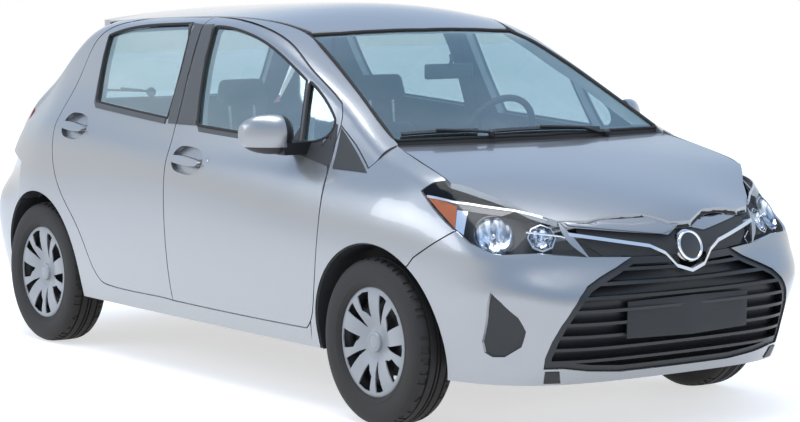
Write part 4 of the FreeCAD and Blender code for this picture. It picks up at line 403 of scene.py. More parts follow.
    def soften(self, width: float, segments: int = 2, angle: float = 40.0) -> "Bench":
        """Rounds the sharp edges."""
        return self.modify("BEVEL", width=width, segments=segments, limit_method="ANGLE",
                           angle_limit=math.radians(angle))

    def outward(self, weld: float = 0.0) -> "Bench":
        """Turns all faces outwards, and first welds points that lie nearer than weld."""
        self.open()
        if weld:
            bpy.ops.mesh.remove_doubles(threshold=weld)
        bpy.ops.mesh.normals_make_consistent(inside=False)
        self.shut()
        return self

    def cut(self, *tools: "Bench") -> "Bench":
        """Cuts other pieces out of this one and clears them away."""
        for tool in tools:
            self.modify("BOOLEAN", operation="DIFFERENCE", solver="EXACT", object=tool.piece)
            tool.wake()
            bpy.ops.object.delete()
        return self

    def copy(self, name: str, shift: Vector = Vector((0.0, 0.0, 0.0)), mirrored: bool = False) -> "Bench":
        """Copies the piece with its own mesh.

        Args:
            name: The copy's name.
            shift: How far the copy is moved.
            mirrored: Whether it is turned over to the car's other side.

        Returns:
            The copy's bench.
        """
        self.wake()
        bpy.ops.object.duplicate(linked=False)
        twin = Bench(name)
        twin.piece = bpy.context.object
        twin.piece.name = name
        twin.piece.data.name = name
        twin.piece.location = shift
        twin.piece.scale = (1.0, -1.0 if mirrored else 1.0, 1.0)
        bpy.ops.object.transform_apply(location=True, rotation=True, scale=True)
        return twin.outward(SEAM_WELD) if mirrored else twin

    def dress(self, finish: str, body: str = "shell", angle: float = 35.0,
              replaces: Sequence[str] = ()) -> "Bench":
        """Gives the piece its finish and its body.

        Args:
            finish: Its material's name.
            body: The CAD body that it rides on.
            angle: Up to which angle its edges look smooth.
            replaces: CAD nodes that it stands for.

        Returns:
            This bench.
        """
        self.wake()
        bpy.ops.object.shade_smooth_by_angle(angle=math.radians(angle))
        self.piece.data.materials.clear()
        self.piece.data.materials.append(FINISHES[finish])
        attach(self.piece, body)
        if replaces:
            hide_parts(*replaces)
        LOG.info("%s: %d faces", self.name, len(self.piece.data.polygons))
        return self

    def dress_pair(self, finish: str, body: str = "shell", angle: float = 35.0) -> None:
        """Dresses the piece and a copy of it on the car's left, as dress does."""
        twin = self.copy(self.name.replace("right", "left"), mirrored=True)
        twin.dress(finish, body.replace("_right", "_left"), angle)
        self.dress(finish, body, angle)


class Socket:
    """An output socket on which Python operators add Math nodes."""

    def __init__(self, shader: "Shader", link: Any) -> None:
        """Keeps the socket."""
        self.shader = shader
        self.link = link

    def _math(self, operation: str, first: Any, second: Any) -> "Socket":
        """Adds one Math node."""
        return self.shader.node("ShaderNodeMath", {"operation": operation}, {0: first, 1: second})

    def __add__(self, other: Any) -> "Socket":
        """Sum."""
        return self._math("ADD", self, other)

    def __sub__(self, other: Any) -> "Socket":
        """Difference."""
        return self._math("SUBTRACT", self, other)

    def __rsub__(self, other: Any) -> "Socket":
        """Difference from a number."""
        return self._math("SUBTRACT", other, self)

    def __mul__(self, other: Any) -> "Socket":
        """Product."""
        return self._math("MULTIPLY", self, other)

    def __gt__(self, other: Any) -> "Socket":
        """One where this is the greater, else zero."""
        return self._math("GREATER_THAN", self, other)

    def power(self, exponent: Any) -> "Socket":
        """This to a power."""
        return self._math("POWER", self, exponent)

    def sine(self) -> "Socket":
        """Sine of an angle in radians."""
        return self._math("SINE", self, 0.0)

    def largest(self, other: Any) -> "Socket":
        """The greater of two values."""
        return self._math("MAXIMUM", self, other)


class Shader:
    """One node tree under construction."""

    def __init__(self, owner: Any) -> None:
        """Empties the owner's node tree.

        Args:
            owner: A new material or world.
        """
        owner.use_nodes = True
        self.owner = owner
        self.tree = owner.node_tree
        self.tree.nodes.clear()

    def node(self, kind: str, settings: Optional[dict[str, Any]] = None,
             inputs: Optional[dict[Any, Any]] = None, output: Union[int, str] = 0) -> Socket:
        """Adds one node.

        Args:
            kind: Blender's node type.
            settings: Properties set before the inputs; "stops" fills a colour ramp.
            inputs: Values or sockets by input name or index.
            output: Which output to return.

        Returns:
            The chosen output.
        """
        made = self.tree.nodes.new(kind)
        for key, value in (settings or {}).items():
            if key == "stops":
                ramp = made.color_ramp
                while len(ramp.elements) < len(value):
                    ramp.elements.new(0.5)
                for element, (place, colour) in zip(ramp.elements, value):
                    element.position = place
                    element.color = (*colour, 1.0)
            else:
                setattr(made, key, value)
        for key, value in (inputs or {}).items():
            if isinstance(value, Socket):
                self.tree.links.new(value.link, made.inputs[key])
            elif isinstance(value, tuple) and len(value) == 3 and made.inputs[key].type == "RGBA":
                made.inputs[key].default_value = (*value, 1.0)
            else:
                made.inputs[key].default_value = value
        return Socket(self, made.outputs[output])

    def place(self, scale: Union[Number, Place] = 1.0) -> Socket:
        """Object coordinates, scaled.

        Args:
            scale: One scale or one for each axis.

        Returns:
            A vector socket.
        """
        raw = self.node("ShaderNodeTexCoord", output="Object")
        size = scale if isinstance(scale, tuple) else (scale, scale, scale)
        return self.node("ShaderNodeMapping", inputs={"Vector": raw, "Scale": size})

    def axis(self, name: str) -> Socket:
        """One object coordinate: X, Y or Z."""
        return self.node("ShaderNodeSeparateXYZ", inputs={0: self.place()}, output=name)

    def noise(self, scale: Union[Number, Place], detail: Number) -> Socket:
        """Noise from 0 to 1 on object coordinates."""
        return self.node("ShaderNodeTexNoise", inputs={
            "Vector": self.place(scale), "Scale": 1.0, "Detail": detail})

    def mix(self, factor: Any, first: Any, second: Any) -> Socket:
        """Mixes two colours."""
        return self.node("ShaderNodeMix", {"data_type": "RGBA"}, {0: factor, 6: first, 7: second}, 2)

    def bump(self, height: Any, strength: Number, distance: Number) -> Socket:
        """A Bump node."""
        return self.node("ShaderNodeBump", inputs={
            "Height": height, "Strength": strength, "Distance": distance})

    def seen_ray(self) -> Socket:
        """One for a ray from the camera, off metal or through glass."""
        kinds = [self.node("ShaderNodeLightPath", output=f"Is {kind} Ray")
                 for kind in ("Camera", "Glossy", "Transmission")]
        return kinds[0].largest(kinds[1]).largest(kinds[2])

    def principled(self, **inputs: Any) -> Socket:
        """A Principled shader."""
        return self.node("ShaderNodeBsdfPrincipled",
                         inputs={key.replace("_", " "): value for key, value in inputs.items()})

    def finish(self, surface: Socket, kind: str = "ShaderNodeOutputMaterial") -> Any:
        """Connects the surface."""
        self.tree.links.new(surface.link, self.tree.nodes.new(kind).inputs["Surface"])
        return self.owner


@dataclass(frozen=True)
class Recipe:
    """A material's name, with its surface made by each kind of finish."""

    name: str

    def surface(self, shader: Shader) -> Socket:
        """Makes the surface on an empty shader."""
        raise NotImplementedError

    def build(self) -> bpy.types.Material:
        """Makes the material."""
        shader = Shader(bpy.data.materials.new(self.name))
        return shader.finish(self.surface(shader))


@dataclass(frozen=True)
class MetallicPaint(Recipe):
    """Silver metallic body paint under clear coat."""

    colour: Colour = (0.315, 0.325, 0.340)
    flake: Colour = (0.390, 0.400, 0.415)

    def surface(self, shader: Shader) -> Socket:
        """Fine bright flakes under a clear coat."""
        flakes = shader.noise(FLAKE_SCALE, detail=1.0)
        return shader.principled(
            Base_Color=shader.mix(flakes, self.colour, self.flake), Metallic=0.80,
            Roughness=shader.noise(scale=3.0, detail=2.0) * 0.04 + 0.30,
            Normal=shader.bump(flakes, strength=0.035, distance=0.0004),
            Coat_Weight=0.9, Coat_Roughness=0.035, Coat_IOR=1.5)


@dataclass(frozen=True)
class MirrorShell(Recipe):
    """The mirror's housing: silver cap over a black underside and foot."""

    colour: Colour = (0.340, 0.350, 0.365)
    black: Colour = (0.014, 0.014, 0.016)
    level: float = 0.972
    foot: float = 0.838

    def surface(self, shader: Shader) -> Socket:
        """Paint above the level and outside the foot, bare plastic elsewhere."""
        across, height = shader.axis("Y"), shader.axis("Z")
        cap = (height > self.level) * (across * across > self.foot * self.foot)
        flakes = shader.noise(FLAKE_SCALE, detail=1.0)
        return shader.principled(
            Base_Color=shader.mix(cap, self.black, self.colour), Metallic=cap * 0.80,
            Roughness=flakes * 0.04 + 0.32, Normal=shader.bump(flakes, strength=0.035, distance=0.0004),
            Coat_Weight=cap * 0.9, Coat_Roughness=0.035)


@dataclass(frozen=True)
class FacetedReflector(Recipe):
    """A bright lamp reflector; its bright and dark facet colours are painted reflections."""

    # Painted reflection colours: dark for reflected shade, bright for reflected light.
    dark: Colour = (0.06, 0.09, 0.13)
    bright: Colour = (0.86, 0.90, 0.96)

    def surface(self, shader: Shader) -> Socket:
        """Painted reflections: bright and dark patches mixed into the colour by noise, over bumped cells."""
        cells = shader.node("ShaderNodeTexVoronoi", inputs={"Vector": shader.place((60.0, 60.0, 28.0)), "Scale": 1.0},
                            output="Distance")
        # Noise mask of the painted bright reflections.
        painted_reflection_mask = (shader.noise((55.0, 55.0, 22.0), detail=1.0) * 3.2 - 1.1).largest(0.0)
        return shader.principled(
            Base_Color=shader.mix(painted_reflection_mask, self.dark, self.bright), Metallic=1.0, Roughness=cells * 0.08 + 0.05,
            Normal=shader.bump(cells, strength=0.5, distance=0.003))


@dataclass(frozen=True)
class Plastic(Recipe):
    """Moulded plastic with a fine grain."""

    colour: Colour
    roughness: float = 0.5
    grain: float = 0.12
    grain_scale: float = 900.0
    coat: float = 0.0

    def surface(self, shader: Shader) -> Socket:
        """Grained plastic, paler where dust lies."""
        grain = shader.noise(self.grain_scale, detail=3.0)
        dust = shader.noise(scale=9.0, detail=3.0)
        pale = tuple(min(1.0, part * 1.35 + 0.004) for part in self.colour)
        return shader.principled(
            Base_Color=shader.mix(dust * 0.6, self.colour, pale), Roughness=dust * 0.10 + (self.roughness - 0.05),
            Normal=shader.bump(grain, self.grain, distance=0.0006), Coat_Weight=self.coat, Coat_Roughness=0.04)


@dataclass(frozen=True)
class BrightMetal(Recipe):
    """Chrome plating or a bright reflector."""

    colour: Colour = (0.80, 0.81, 0.83)
    roughness: float = 0.06

    def surface(self, shader: Shader) -> Socket:
        """Polished metal with faint smears."""
        smear = shader.noise(scale=40.0, detail=3.0)
        return shader.principled(Base_Color=self.colour, Metallic=1.0, Roughness=smear * 0.06 + self.roughness)


@dataclass(frozen=True)
class TyreRubber(Recipe):
    """Tyre rubber with road dust on the sidewall."""

    colour: Colour = (0.012, 0.011, 0.011)
    dust: Colour = (0.040, 0.034, 0.030)

    def surface(self, shader: Shader) -> Socket:
        """Black rubber with patches of dust."""
        patches = shader.noise(scale=14.0, detail=4.0)
        return shader.principled(
            Base_Color=shader.mix(patches * 0.75, self.colour, self.dust), Roughness=patches * 0.15 + 0.62,
            Normal=shader.bump(shader.noise(scale=700.0, detail=2.0), strength=0.25, distance=0.0005))


@dataclass(frozen=True)
class Steel(Recipe):
    """Painted or bare steel of the running gear."""

    colour: Colour
    metallic: float = 0.6
    roughness: float = 0.5
    rust: float = 0.0
    rust_colour: Colour = (0.16, 0.075, 0.04)

    def surface(self, shader: Shader) -> Socket:
        """Rough metal with rust in patches."""
        patches = shader.noise(scale=22.0, detail=4.0)
        return shader.principled(
            Base_Color=shader.mix(patches * self.rust, self.colour, self.rust_colour), Metallic=self.metallic,
            Roughness=patches * 0.2 + (self.roughness - 0.1),
            Normal=shader.bump(patches, strength=0.2, distance=0.001))


@dataclass(frozen=True)
class Glazing(Recipe):
    """Tinted window glass, clear to look through and glossy at a slant."""

    tint: Colour = (0.86, 0.93, 0.93)
    gloss: float = 0.36
    blend: float = 0.22
    # The reflection's tint, and the bright colour of its painted sky patches.
    deep: Colour = (0.42, 0.64, 0.68)
    bright: Colour = (0.95, 1.00, 1.00)
    rim: float = 0.90

    def surface(self, shader: Shader) -> Socket:
        """Clear glass with a reflection on its outer face, with patches of reflected sky painted into its colour by
        noise.
        """
        slant = shader.node("ShaderNodeLayerWeight", inputs={"Blend": self.blend}, output="Fresnel")
        # Noise mask of painted reflection patches, bright against the deep tint.
        painted_cloud_reflection = shader.noise((1.1, 1.1, 3.6), detail=4.0).power(2.0) * 2.2
        through = shader.node("ShaderNodeBsdfTransparent", inputs={"Color": self.tint})
        shine = shader.principled(
            Base_Color=shader.mix(painted_cloud_reflection, self.deep, self.bright), Metallic=1.0,
            Roughness=shader.noise(scale=5.0, detail=3.0) * 0.02 + 0.012)
        inside = shader.node("ShaderNodeNewGeometry", output="Backfacing")
        factor = (slant * self.rim + self.gloss) * (1.0 - inside)
        return shader.node("ShaderNodeMixShader", inputs={0: factor, 1: through, 2: shine})


@dataclass(frozen=True)
class Lens(Recipe):
    """Coloured lamp plastic."""

    colour: Colour
    alpha: float = 0.85
    flutes: float = 0.0

    def surface(self, shader: Shader) -> Socket:
        """Deep clear plastic with level flutes."""
        wave = (shader.axis("Z") * self.flutes).sine()
        dark = tuple(part * 0.55 for part in self.colour)
        depth = shader.noise(scale=60.0, detail=2.0)
        strength = 0.3 if self.flutes else 0.0
        return shader.principled(
            Base_Color=shader.mix(depth, self.colour, dark), Roughness=0.12, Alpha=self.alpha,
            Coat_Weight=1.0, Coat_Roughness=0.02, Normal=shader.bump(wave, strength, distance=0.001))


@dataclass(frozen=True)
class Cloth(Recipe):
    """Woven seat cloth."""

    colour: Colour
    thread: Colour
    threads: float = 2200.0

    def surface(self, shader: Shader) -> Socket:
        """A weave with soft blotches."""
        weft = ((shader.axis("X") + shader.axis("Z")) * self.threads).sine()
        warp = (shader.axis("Y") * self.threads).sine()
        weave = weft * warp * 0.5 + 0.5
        return shader.principled(
            Base_Color=shader.mix(weave * 0.5 + shader.noise(scale=30.0, detail=3.0) * 0.3, self.colour, self.thread),
            Roughness=0.9, Sheen_Weight=0.25, Normal=shader.bump(weave, strength=0.5, distance=0.0008))


def make_finishes() -> None:
    """Builds every material of the car once."""
    recipes = (
        MetallicPaint("silver_paint"),
        MirrorShell("mirror_two_tone"),
        FacetedReflector("faceted_reflector"),
        Plastic("black_trim", (0.020, 0.021, 0.023), 0.42, 0.10),
        Plastic("grained_black", (0.026, 0.027, 0.029), 0.62, 0.35, 600.0),
        Plastic("gloss_black", (0.012, 0.012, 0.014), 0.22, 0.0, 900.0, 0.8),
        Plastic("dark_grey_trim", (0.060, 0.063, 0.068), 0.50, 0.2),
        Plastic("rubber_seal", (0.012, 0.012, 0.013), 0.75, 0.15),
        Plastic("dash_plastic", (0.035, 0.036, 0.038), 0.66, 0.5, 450.0),
        Plastic("lamp_housing", (0.014, 0.015, 0.017), 0.55, 0.05),
        Plastic("plate_blank", (0.52, 0.53, 0.54), 0.45, 0.05),
        Plastic("wheel_cover_silver", (0.36, 0.37, 0.385), 0.36, 0.03, 1500.0, 0.25),
        Plastic("underbody_seal", (0.045, 0.045, 0.047), 0.85, 0.4, 250.0),
        BrightMetal("chrome"),
        BrightMetal("lamp_reflector", (0.86, 0.88, 0.92), 0.05),
        BrightMetal("satin_silver", (0.62, 0.63, 0.65), 0.25),
        TyreRubber("tyre_rubber"),
        Steel("black_steel", (0.018, 0.018, 0.019), 0.3, 0.5),
        Steel("cast_steel", (0.17, 0.17, 0.18), 0.7, 0.55, 0.5),
        Steel("engine_alloy", (0.42, 0.43, 0.44), 0.8, 0.5, 0.05),
        Steel("exhaust_steel", (0.30, 0.28, 0.26), 0.85, 0.45, 0.35),
        Glazing("window_glass"),
        Glazing("screen_glass", (0.88, 0.95, 0.94), 0.28, 0.20),
        Glazing("lamp_lens", (0.97, 0.98, 0.99), 0.02, 0.20, (0.8, 0.85, 0.9), (0.95, 0.97, 1.0), 0.20),
        Lens("amber_lens", (0.62, 0.15, 0.02)),
        Lens("red_lens", (0.42, 0.010, 0.015), 1.0, 900.0),
        Lens("clear_lens", (0.62, 0.64, 0.66), 1.0, 900.0),
        Cloth("seat_cloth", (0.050, 0.051, 0.054), (0.12, 0.12, 0.125)),
    )
    FINISHES.update((recipe.name, recipe.build()) for recipe in recipes)


NODE_FINISHES: dict[str, tuple[str, ...]] = {
    "silver_paint": ("body_side", "front_door", "rear_door", "fenders", "front_bumper", "rear_bumper",
                     "rear_corners", "bonnet", "roof_panel", "hatch"),
    "window_glass": ("front_door_glass", "rear_door_glass", "hatch_glass"),
    "mirror_two_tone": ("mirror",),
    "screen_glass": ("windscreen",),
    "black_trim": ("lower_grille", "wipers"),
    "grained_black": ("upper_grille", "cowl", "wheel_liners"),
    "chrome": ("grille_trim",),
    "rubber_seal": ("roof_mouldings",),
    "underbody_seal": ("floor_pan",),
    "seat_cloth": ("front_seats", "rear_seat"),
    "dash_plastic": ("dashboard", "steering_wheel"),
    "engine_alloy": ("engine_block",),
    "cast_steel": ("front_suspension", "rear_axle", "front_knuckle"),
    "exhaust_steel": ("exhaust",),
    "tyre_rubber": ("front_tyre", "rear_tyre"),
    "wheel_cover_silver": ("front_wheel", "rear_wheel"),
    "lamp_lens": ("headlamps",),
    "red_lens": ("tail_lamps",),
}


def dress_nodes() -> None:
    """Gives every CAD node its finish."""
    by_start = {start: finish for finish, starts in NODE_FINISHES.items() for start in starts}
    longest_first = sorted(by_start, key=len, reverse=True)
    for name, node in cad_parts.items():
        start = next(start for start in longest_first if name.startswith(start))
        node.data.materials.clear()
        node.data.materials.append(FINISHES[by_start[start]])


@dataclass
class Studio:
    """Camera at the photograph's angle, pale floor and soft light."""

    camera_place: Place = (8.59663, -6.02258, 1.68351)
    camera_yaw: float = 54.2915
    camera_pitch: float = 5.7175
    lens: float = 115.375
    sensor: float = 36.0
    far_clip: float = 200.0
    floor_size: float = 60.0
    lamps: tuple[tuple[str, Place, Place, Pair, float, Colour], ...] = (
        ("overhead", (1.0, -1.5, 7.5), (0.0, 0.0, 0.6), (7.0, 5.0), 430.0, (1.0, 0.99, 0.97)),
        ("side_key", (-3.5, -8.0, 4.2), (0.0, -0.8, 0.7), (6.0, 2.5), 150.0, (0.95, 0.97, 1.0)))
    sky: tuple[tuple[float, Colour], ...] = (
        (0.0, (1.0, 1.0, 1.0)), (0.55, (1.0, 1.0, 1.0)), (0.60, (0.80, 0.89, 1.00)), (0.70, (0.54, 0.69, 0.92)),
        (0.82, (0.46, 0.63, 0.90)), (1.0, (0.66, 0.76, 0.93)))

    def build(self) -> None:
        """Builds the camera, the floor, the lamps and the sky."""
        self.add_camera()
        self.add_floor()
        for lamp in self.lamps:
            self.add_lamp(*lamp)
        self.add_sky()

    def place(self, name: str, data: Any, spot: Place) -> bpy.types.Object:
        """Puts a camera or a lamp at its place."""
        thing = bpy.data.objects.new(name, data)
        bpy.context.scene.collection.objects.link(thing)
        thing.location = spot
        return thing

    def add_camera(self) -> None:
        """Adds the camera."""
        data = bpy.data.cameras.new("view")
        data.lens, data.sensor_width, data.clip_end = self.lens, self.sensor, self.far_clip
        camera = self.place("view", data, self.camera_place)
        camera.rotation_euler = (math.radians(90 - self.camera_pitch), 0.0, math.radians(self.camera_yaw))
        bpy.context.scene.camera = camera

    def add_floor(self) -> None:
        """Adds the pale floor, white to the camera and to reflections."""
        bpy.ops.object.select_all(action="DESELECT")
        bpy.ops.mesh.primitive_plane_add(size=self.floor_size, location=(0, 0, 0))
        floor = bpy.context.object
        floor.name = "floor"
        shader = Shader(bpy.data.materials.new("pale_floor"))
        speck = shader.noise(scale=30.0, detail=3.0)
        pale = shader.principled(
            Base_Color=shader.mix(speck * 0.15, (0.62, 0.62, 0.62), (0.58, 0.58, 0.58)), Roughness=0.9,
            Emission_Color=(1.0, 1.0, 1.0), Emission_Strength=0.62)
        grey = shader.principled(Base_Color=shader.mix(speck, (0.30, 0.30, 0.30), (0.36, 0.36, 0.35)), Roughness=0.9)
        surface = shader.node("ShaderNodeMixShader", inputs={0: shader.seen_ray(), 1: grey, 2: pale})
        floor.data.materials.append(shader.finish(surface))

    def add_lamp(self, name: str, spot: Place, target: Place, size: Pair, power: float, colour: Colour) -> None:
        """Adds one soft lamp.

        Args:
            name: The lamp's name.
            spot: Where it stands.
            target: What it points at.
            size: Its width and height.
            power: Its power in watts.
            colour: Its colour.
        """
        data = bpy.data.lights.new(name, "AREA")
        data.shape = "RECTANGLE"
        data.size, data.size_y = size
        data.energy = power
        data.color = colour
        aim = Vector(target) - Vector(spot)
        self.place(name, data, spot).rotation_euler = aim.to_track_quat("-Z", "Y").to_euler()

    def add_sky(self) -> None:
        """Sets a sky that is white low down and pale blue above."""
        bpy.context.scene.world = bpy.data.worlds.new("sky")
        shader = Shader(bpy.context.scene.world)
        direction = shader.node("ShaderNodeTexCoord", output="Generated")
        height = shader.node("ShaderNodeSeparateXYZ", inputs={0: direction}, output="Z")
        sky = shader.node("ShaderNodeValToRGB", {"stops": self.sky}, {0: height * 0.5 + 0.5})
        shader.finish(shader.node("ShaderNodeBackground", inputs={"Color": sky, "Strength": 1.0}),
                      "ShaderNodeOutputWorld")


@dataclass
class Wheels:
    """Four tyres, steel rims, brake discs and pressed covers."""

    hub: Place = (FRONT_AXLE, -0.737, 0.304)
    rear_inset: float = 0.007
    face: float = 0.072
    tread_steps: int = 150
    sipe_every: int = 3
    sipe_ring: float = 0.2925
    sipe_band: Pair = (0.046, 0.070)
    sipe_depth: float = 0.0035
    tread_profile: tuple[Pair, ...] = (
        (0.1985, -0.070), (0.2050, -0.079), (0.2150, -0.084), (0.2175, -0.0855), (0.2200, -0.0845),
        (0.2420, -0.0880), (0.2620, -0.0878), (0.2780, -0.0845), (0.2880, -0.0795), (0.2950, -0.0720),
        (0.3000, -0.0620), (0.3025, -0.0500), (0.3030, -0.0440), (0.2960, -0.0425), (0.2960, -0.0370),
        (0.3035, -0.0355), (0.3040, -0.0120), (0.2965, -0.0105), (0.2965, -0.0045), (0.3040, -0.0030))
    rim_profile: tuple[Pair, ...] = (
        (0.2035, 0.001), (0.2055, 0.004), (0.2015, 0.010), (0.1960, 0.022), (0.1900, 0.026), (0.1830, 0.050),
        (0.1780, 0.080), (0.1780, 0.110), (0.1880, 0.128), (0.1960, 0.134), (0.2020, 0.146), (0.2055, 0.150))
    disc_profile: tuple[Pair, ...] = (
        (0.1790, 0.070), (0.1700, 0.052), (0.1550, 0.040), (0.1300, 0.034), (0.1080, 0.040), (0.0900, 0.052),
        (0.0700, 0.058), (0.0330, 0.058))
    brake_profile: tuple[Pair, ...] = (
        (0.0340, 0.016), (0.0700, 0.014), (0.0740, -0.012), (0.0760, -0.014), (0.1275, -0.014), (0.1280, -0.016),
        (0.1280, -0.034), (0.1275, -0.036), (0.0700, -0.036), (0.0600, -0.020), (0.0340, -0.018))
    cover_profile: tuple[Pair, ...] = (
        (0.0360, 0.0200), (0.0440, 0.0235), (0.0560, 0.0225), (0.0720, 0.0170), (0.0900, 0.0105),
        (0.1120, 0.0050), (0.1350, 0.0015), (0.1580, 0.0000), (0.1760, 0.0005), (0.1880, 0.0025),
        (0.1935, 0.0030), (0.1975, 0.0060), (0.1990, 0.0110))
    cap_profile: tuple[Pair, ...] = (
        (0.0375, 0.0260), (0.0370, 0.0080), (0.0345, 0.0045), (0.0290, 0.0035), (0.0275, 0.0050),
        (0.0245, 0.0050), (0.0230, 0.0038), (0.0040, 0.0030))
    wide_window: tuple[Pair, ...] = (
        (-10.0, 0.182), (1.5, 0.184), (13.0, 0.181), (14.5, 0.126), (5.0, 0.108), (1.0, 0.096), (-6.0, 0.089))
    narrow_window: tuple[Pair, ...] = (
        (-6.5, 0.180), (1.0, 0.182), (8.0, 0.180), (2.0, 0.105), (-1.5, 0.072), (-5.0, 0.070), (-7.0, 0.100))
    windows: int = 5
    vents: int = 10
    vent_ring: float = 0.150
    vent_radius: float = 0.013
    cutter_length: float = 0.09

    def build(self) -> None:
        """Models the right front wheel and copies it to the other three hubs."""
        self.centre = Vector(self.hub)
        parts = ((self.tyre(), "tyre_rubber", 28.0), (self.rim(), "black_steel", 40.0),
                 (self.disc(), "black_steel", 40.0), (self.brake(), "cast_steel", 40.0),
                 (self.cover(), "wheel_cover_silver", 32.0), (self.cap(), "wheel_cover_silver", 25.0))
        back = REAR_AXLE - FRONT_AXLE
        shifts = {"front_left": (Vector(), True), "rear_right": (Vector((back, self.rear_inset, 0.0)), False),
                  "rear_left": (Vector((back, -self.rear_inset, 0.0)), True)}
        for place, (shift, mirrored) in shifts.items():
            for part, finish, angle in parts:
                twin = part.copy(part.name.replace("front_right", place), shift, mirrored)
                self.mount(twin, finish, angle, place)
        for part, finish, angle in parts:
            self.mount(part, finish, angle, "front_right")

    def mount(self, part: Bench, finish: str, angle: float, place: str) -> None:
        """Dresses one part of a wheel.

        Args:
            part: The part.
            finish: Its finish.
            angle: Its smoothing angle.
            place: The hub, such as front_right.
        """
        end, hand = place.split("_")
        stands_for = {"tread": (f"{end}_tyre_{hand}",), "cover": (f"{end}_wheel_{hand}",)}
        part.dress(finish, f"wheel_{place}", angle, stands_for.get(part.name.split("_")[0], ()))

    def turned(self, name: str, profile: Sequence[Pair], steps: int, **form: bool) -> Bench:
        """Turns one part of the right front wheel about the hub."""
        return Bench(f"{name}_front_right").turn(profile, self.centre, RIGHTWARD, steps, **form)

    def under_face(self, profile: Sequence[Pair]) -> list[Pair]:
        """A profile whose depths are measured under the wheel's face."""
        return [(radius, self.face - depth) for radius, depth in profile]

    def spoke(self, angle: float, radius: float, out: float) -> Vector:
        """A place on the wheel, from an angle in degrees, a radius and a distance outwards."""
        turn = math.radians(angle)
        return self.centre + Vector((radius * math.cos(turn), -out, radius * math.sin(turn)))

    def tyre(self) -> Bench:
        """Turns the tyre and presses sipes into its shoulders."""
        half = list(self.tread_profile)
        profile = half + [(radius, -depth) for radius, depth in reversed(half)]
        piece = self.turned("tread", profile, self.tread_steps)
        step = math.tau / self.tread_steps

        def in_sipe(face: Any) -> bool:
            """Whether a face lies in a shoulder sipe."""
            spot = face.calc_center_median() - self.centre
            number = int(math.atan2(spot.z, spot.x) % math.tau / step)
            low, high = self.sipe_band
            return number % self.sipe_every == 0 and math.hypot(spot.x, spot.z) > self.sipe_ring \
                and low < abs(spot.y) < high

        piece.open()
        piece.pick("FACE", in_sipe)
        bpy.ops.mesh.extrude_region_shrink_fatten(
            TRANSFORM_OT_shrink_fatten={"value": -self.sipe_depth, "use_even_offset": False})
        piece.shut()
        return piece

    def rim(self) -> Bench:
        """Turns the steel rim."""
        return self.turned("rim", self.under_face(self.rim_profile), steps=96).wall(thickness=0.003, offset=0.0)

    def disc(self) -> Bench:
        """Turns the steel wheel's disc and cuts its vents."""
        piece = self.turned("disc", self.under_face(self.disc_profile), steps=72).wall(thickness=0.004, offset=0.0)
        tools = []
        for number in range(self.vents):
            spot = self.spoke(360.0 / self.vents * (number + 0.5), self.vent_ring, self.cutter_length)
            edge = [(self.vent_radius, 0.0), (self.vent_radius, self.cutter_length)]
            tool = Bench("vent").turn(edge, spot, LEFTWARD, steps=14)
            tool.open()
            bpy.ops.mesh.fill_holes(sides=0)
            tool.shut()
            tools.append(tool.outward())
        return piece.cut(*tools)

    def brake(self) -> Bench:
        """Turns the brake disc with its hat."""
        return self.turned("brake", self.brake_profile, steps=72, closed=True).soften(width=0.001)

    def window(self, corners: Sequence[Pair], base: float) -> Bench:
        """Makes the cutter of one window."""
        outline = [self.spoke(angle + base, radius, self.face + 0.03) for angle, radius in corners]
        return Bench("window").plate(outline, LEFTWARD * self.cutter_length)

    def cover(self) -> Bench:
        """Turns the dished cover, cuts its ten windows and rounds their edges."""
        piece = self.turned("cover", self.under_face(self.cover_profile), steps=120)
        piece.wall(thickness=0.0045, offset=0.0)
        for number in range(self.windows):
            turn = 360.0 / self.windows * number
            piece.cut(self.window(self.wide_window, turn + 36.0))
            piece.cut(self.window(self.narrow_window, turn - 4.0))
        return piece.soften(width=0.0012, segments=2, angle=50.0)

    def cap(self) -> Bench:
        """Turns the plain centre cap."""
        return self.turned("cap", self.under_face(self.cap_profile), steps=64, cap=True)


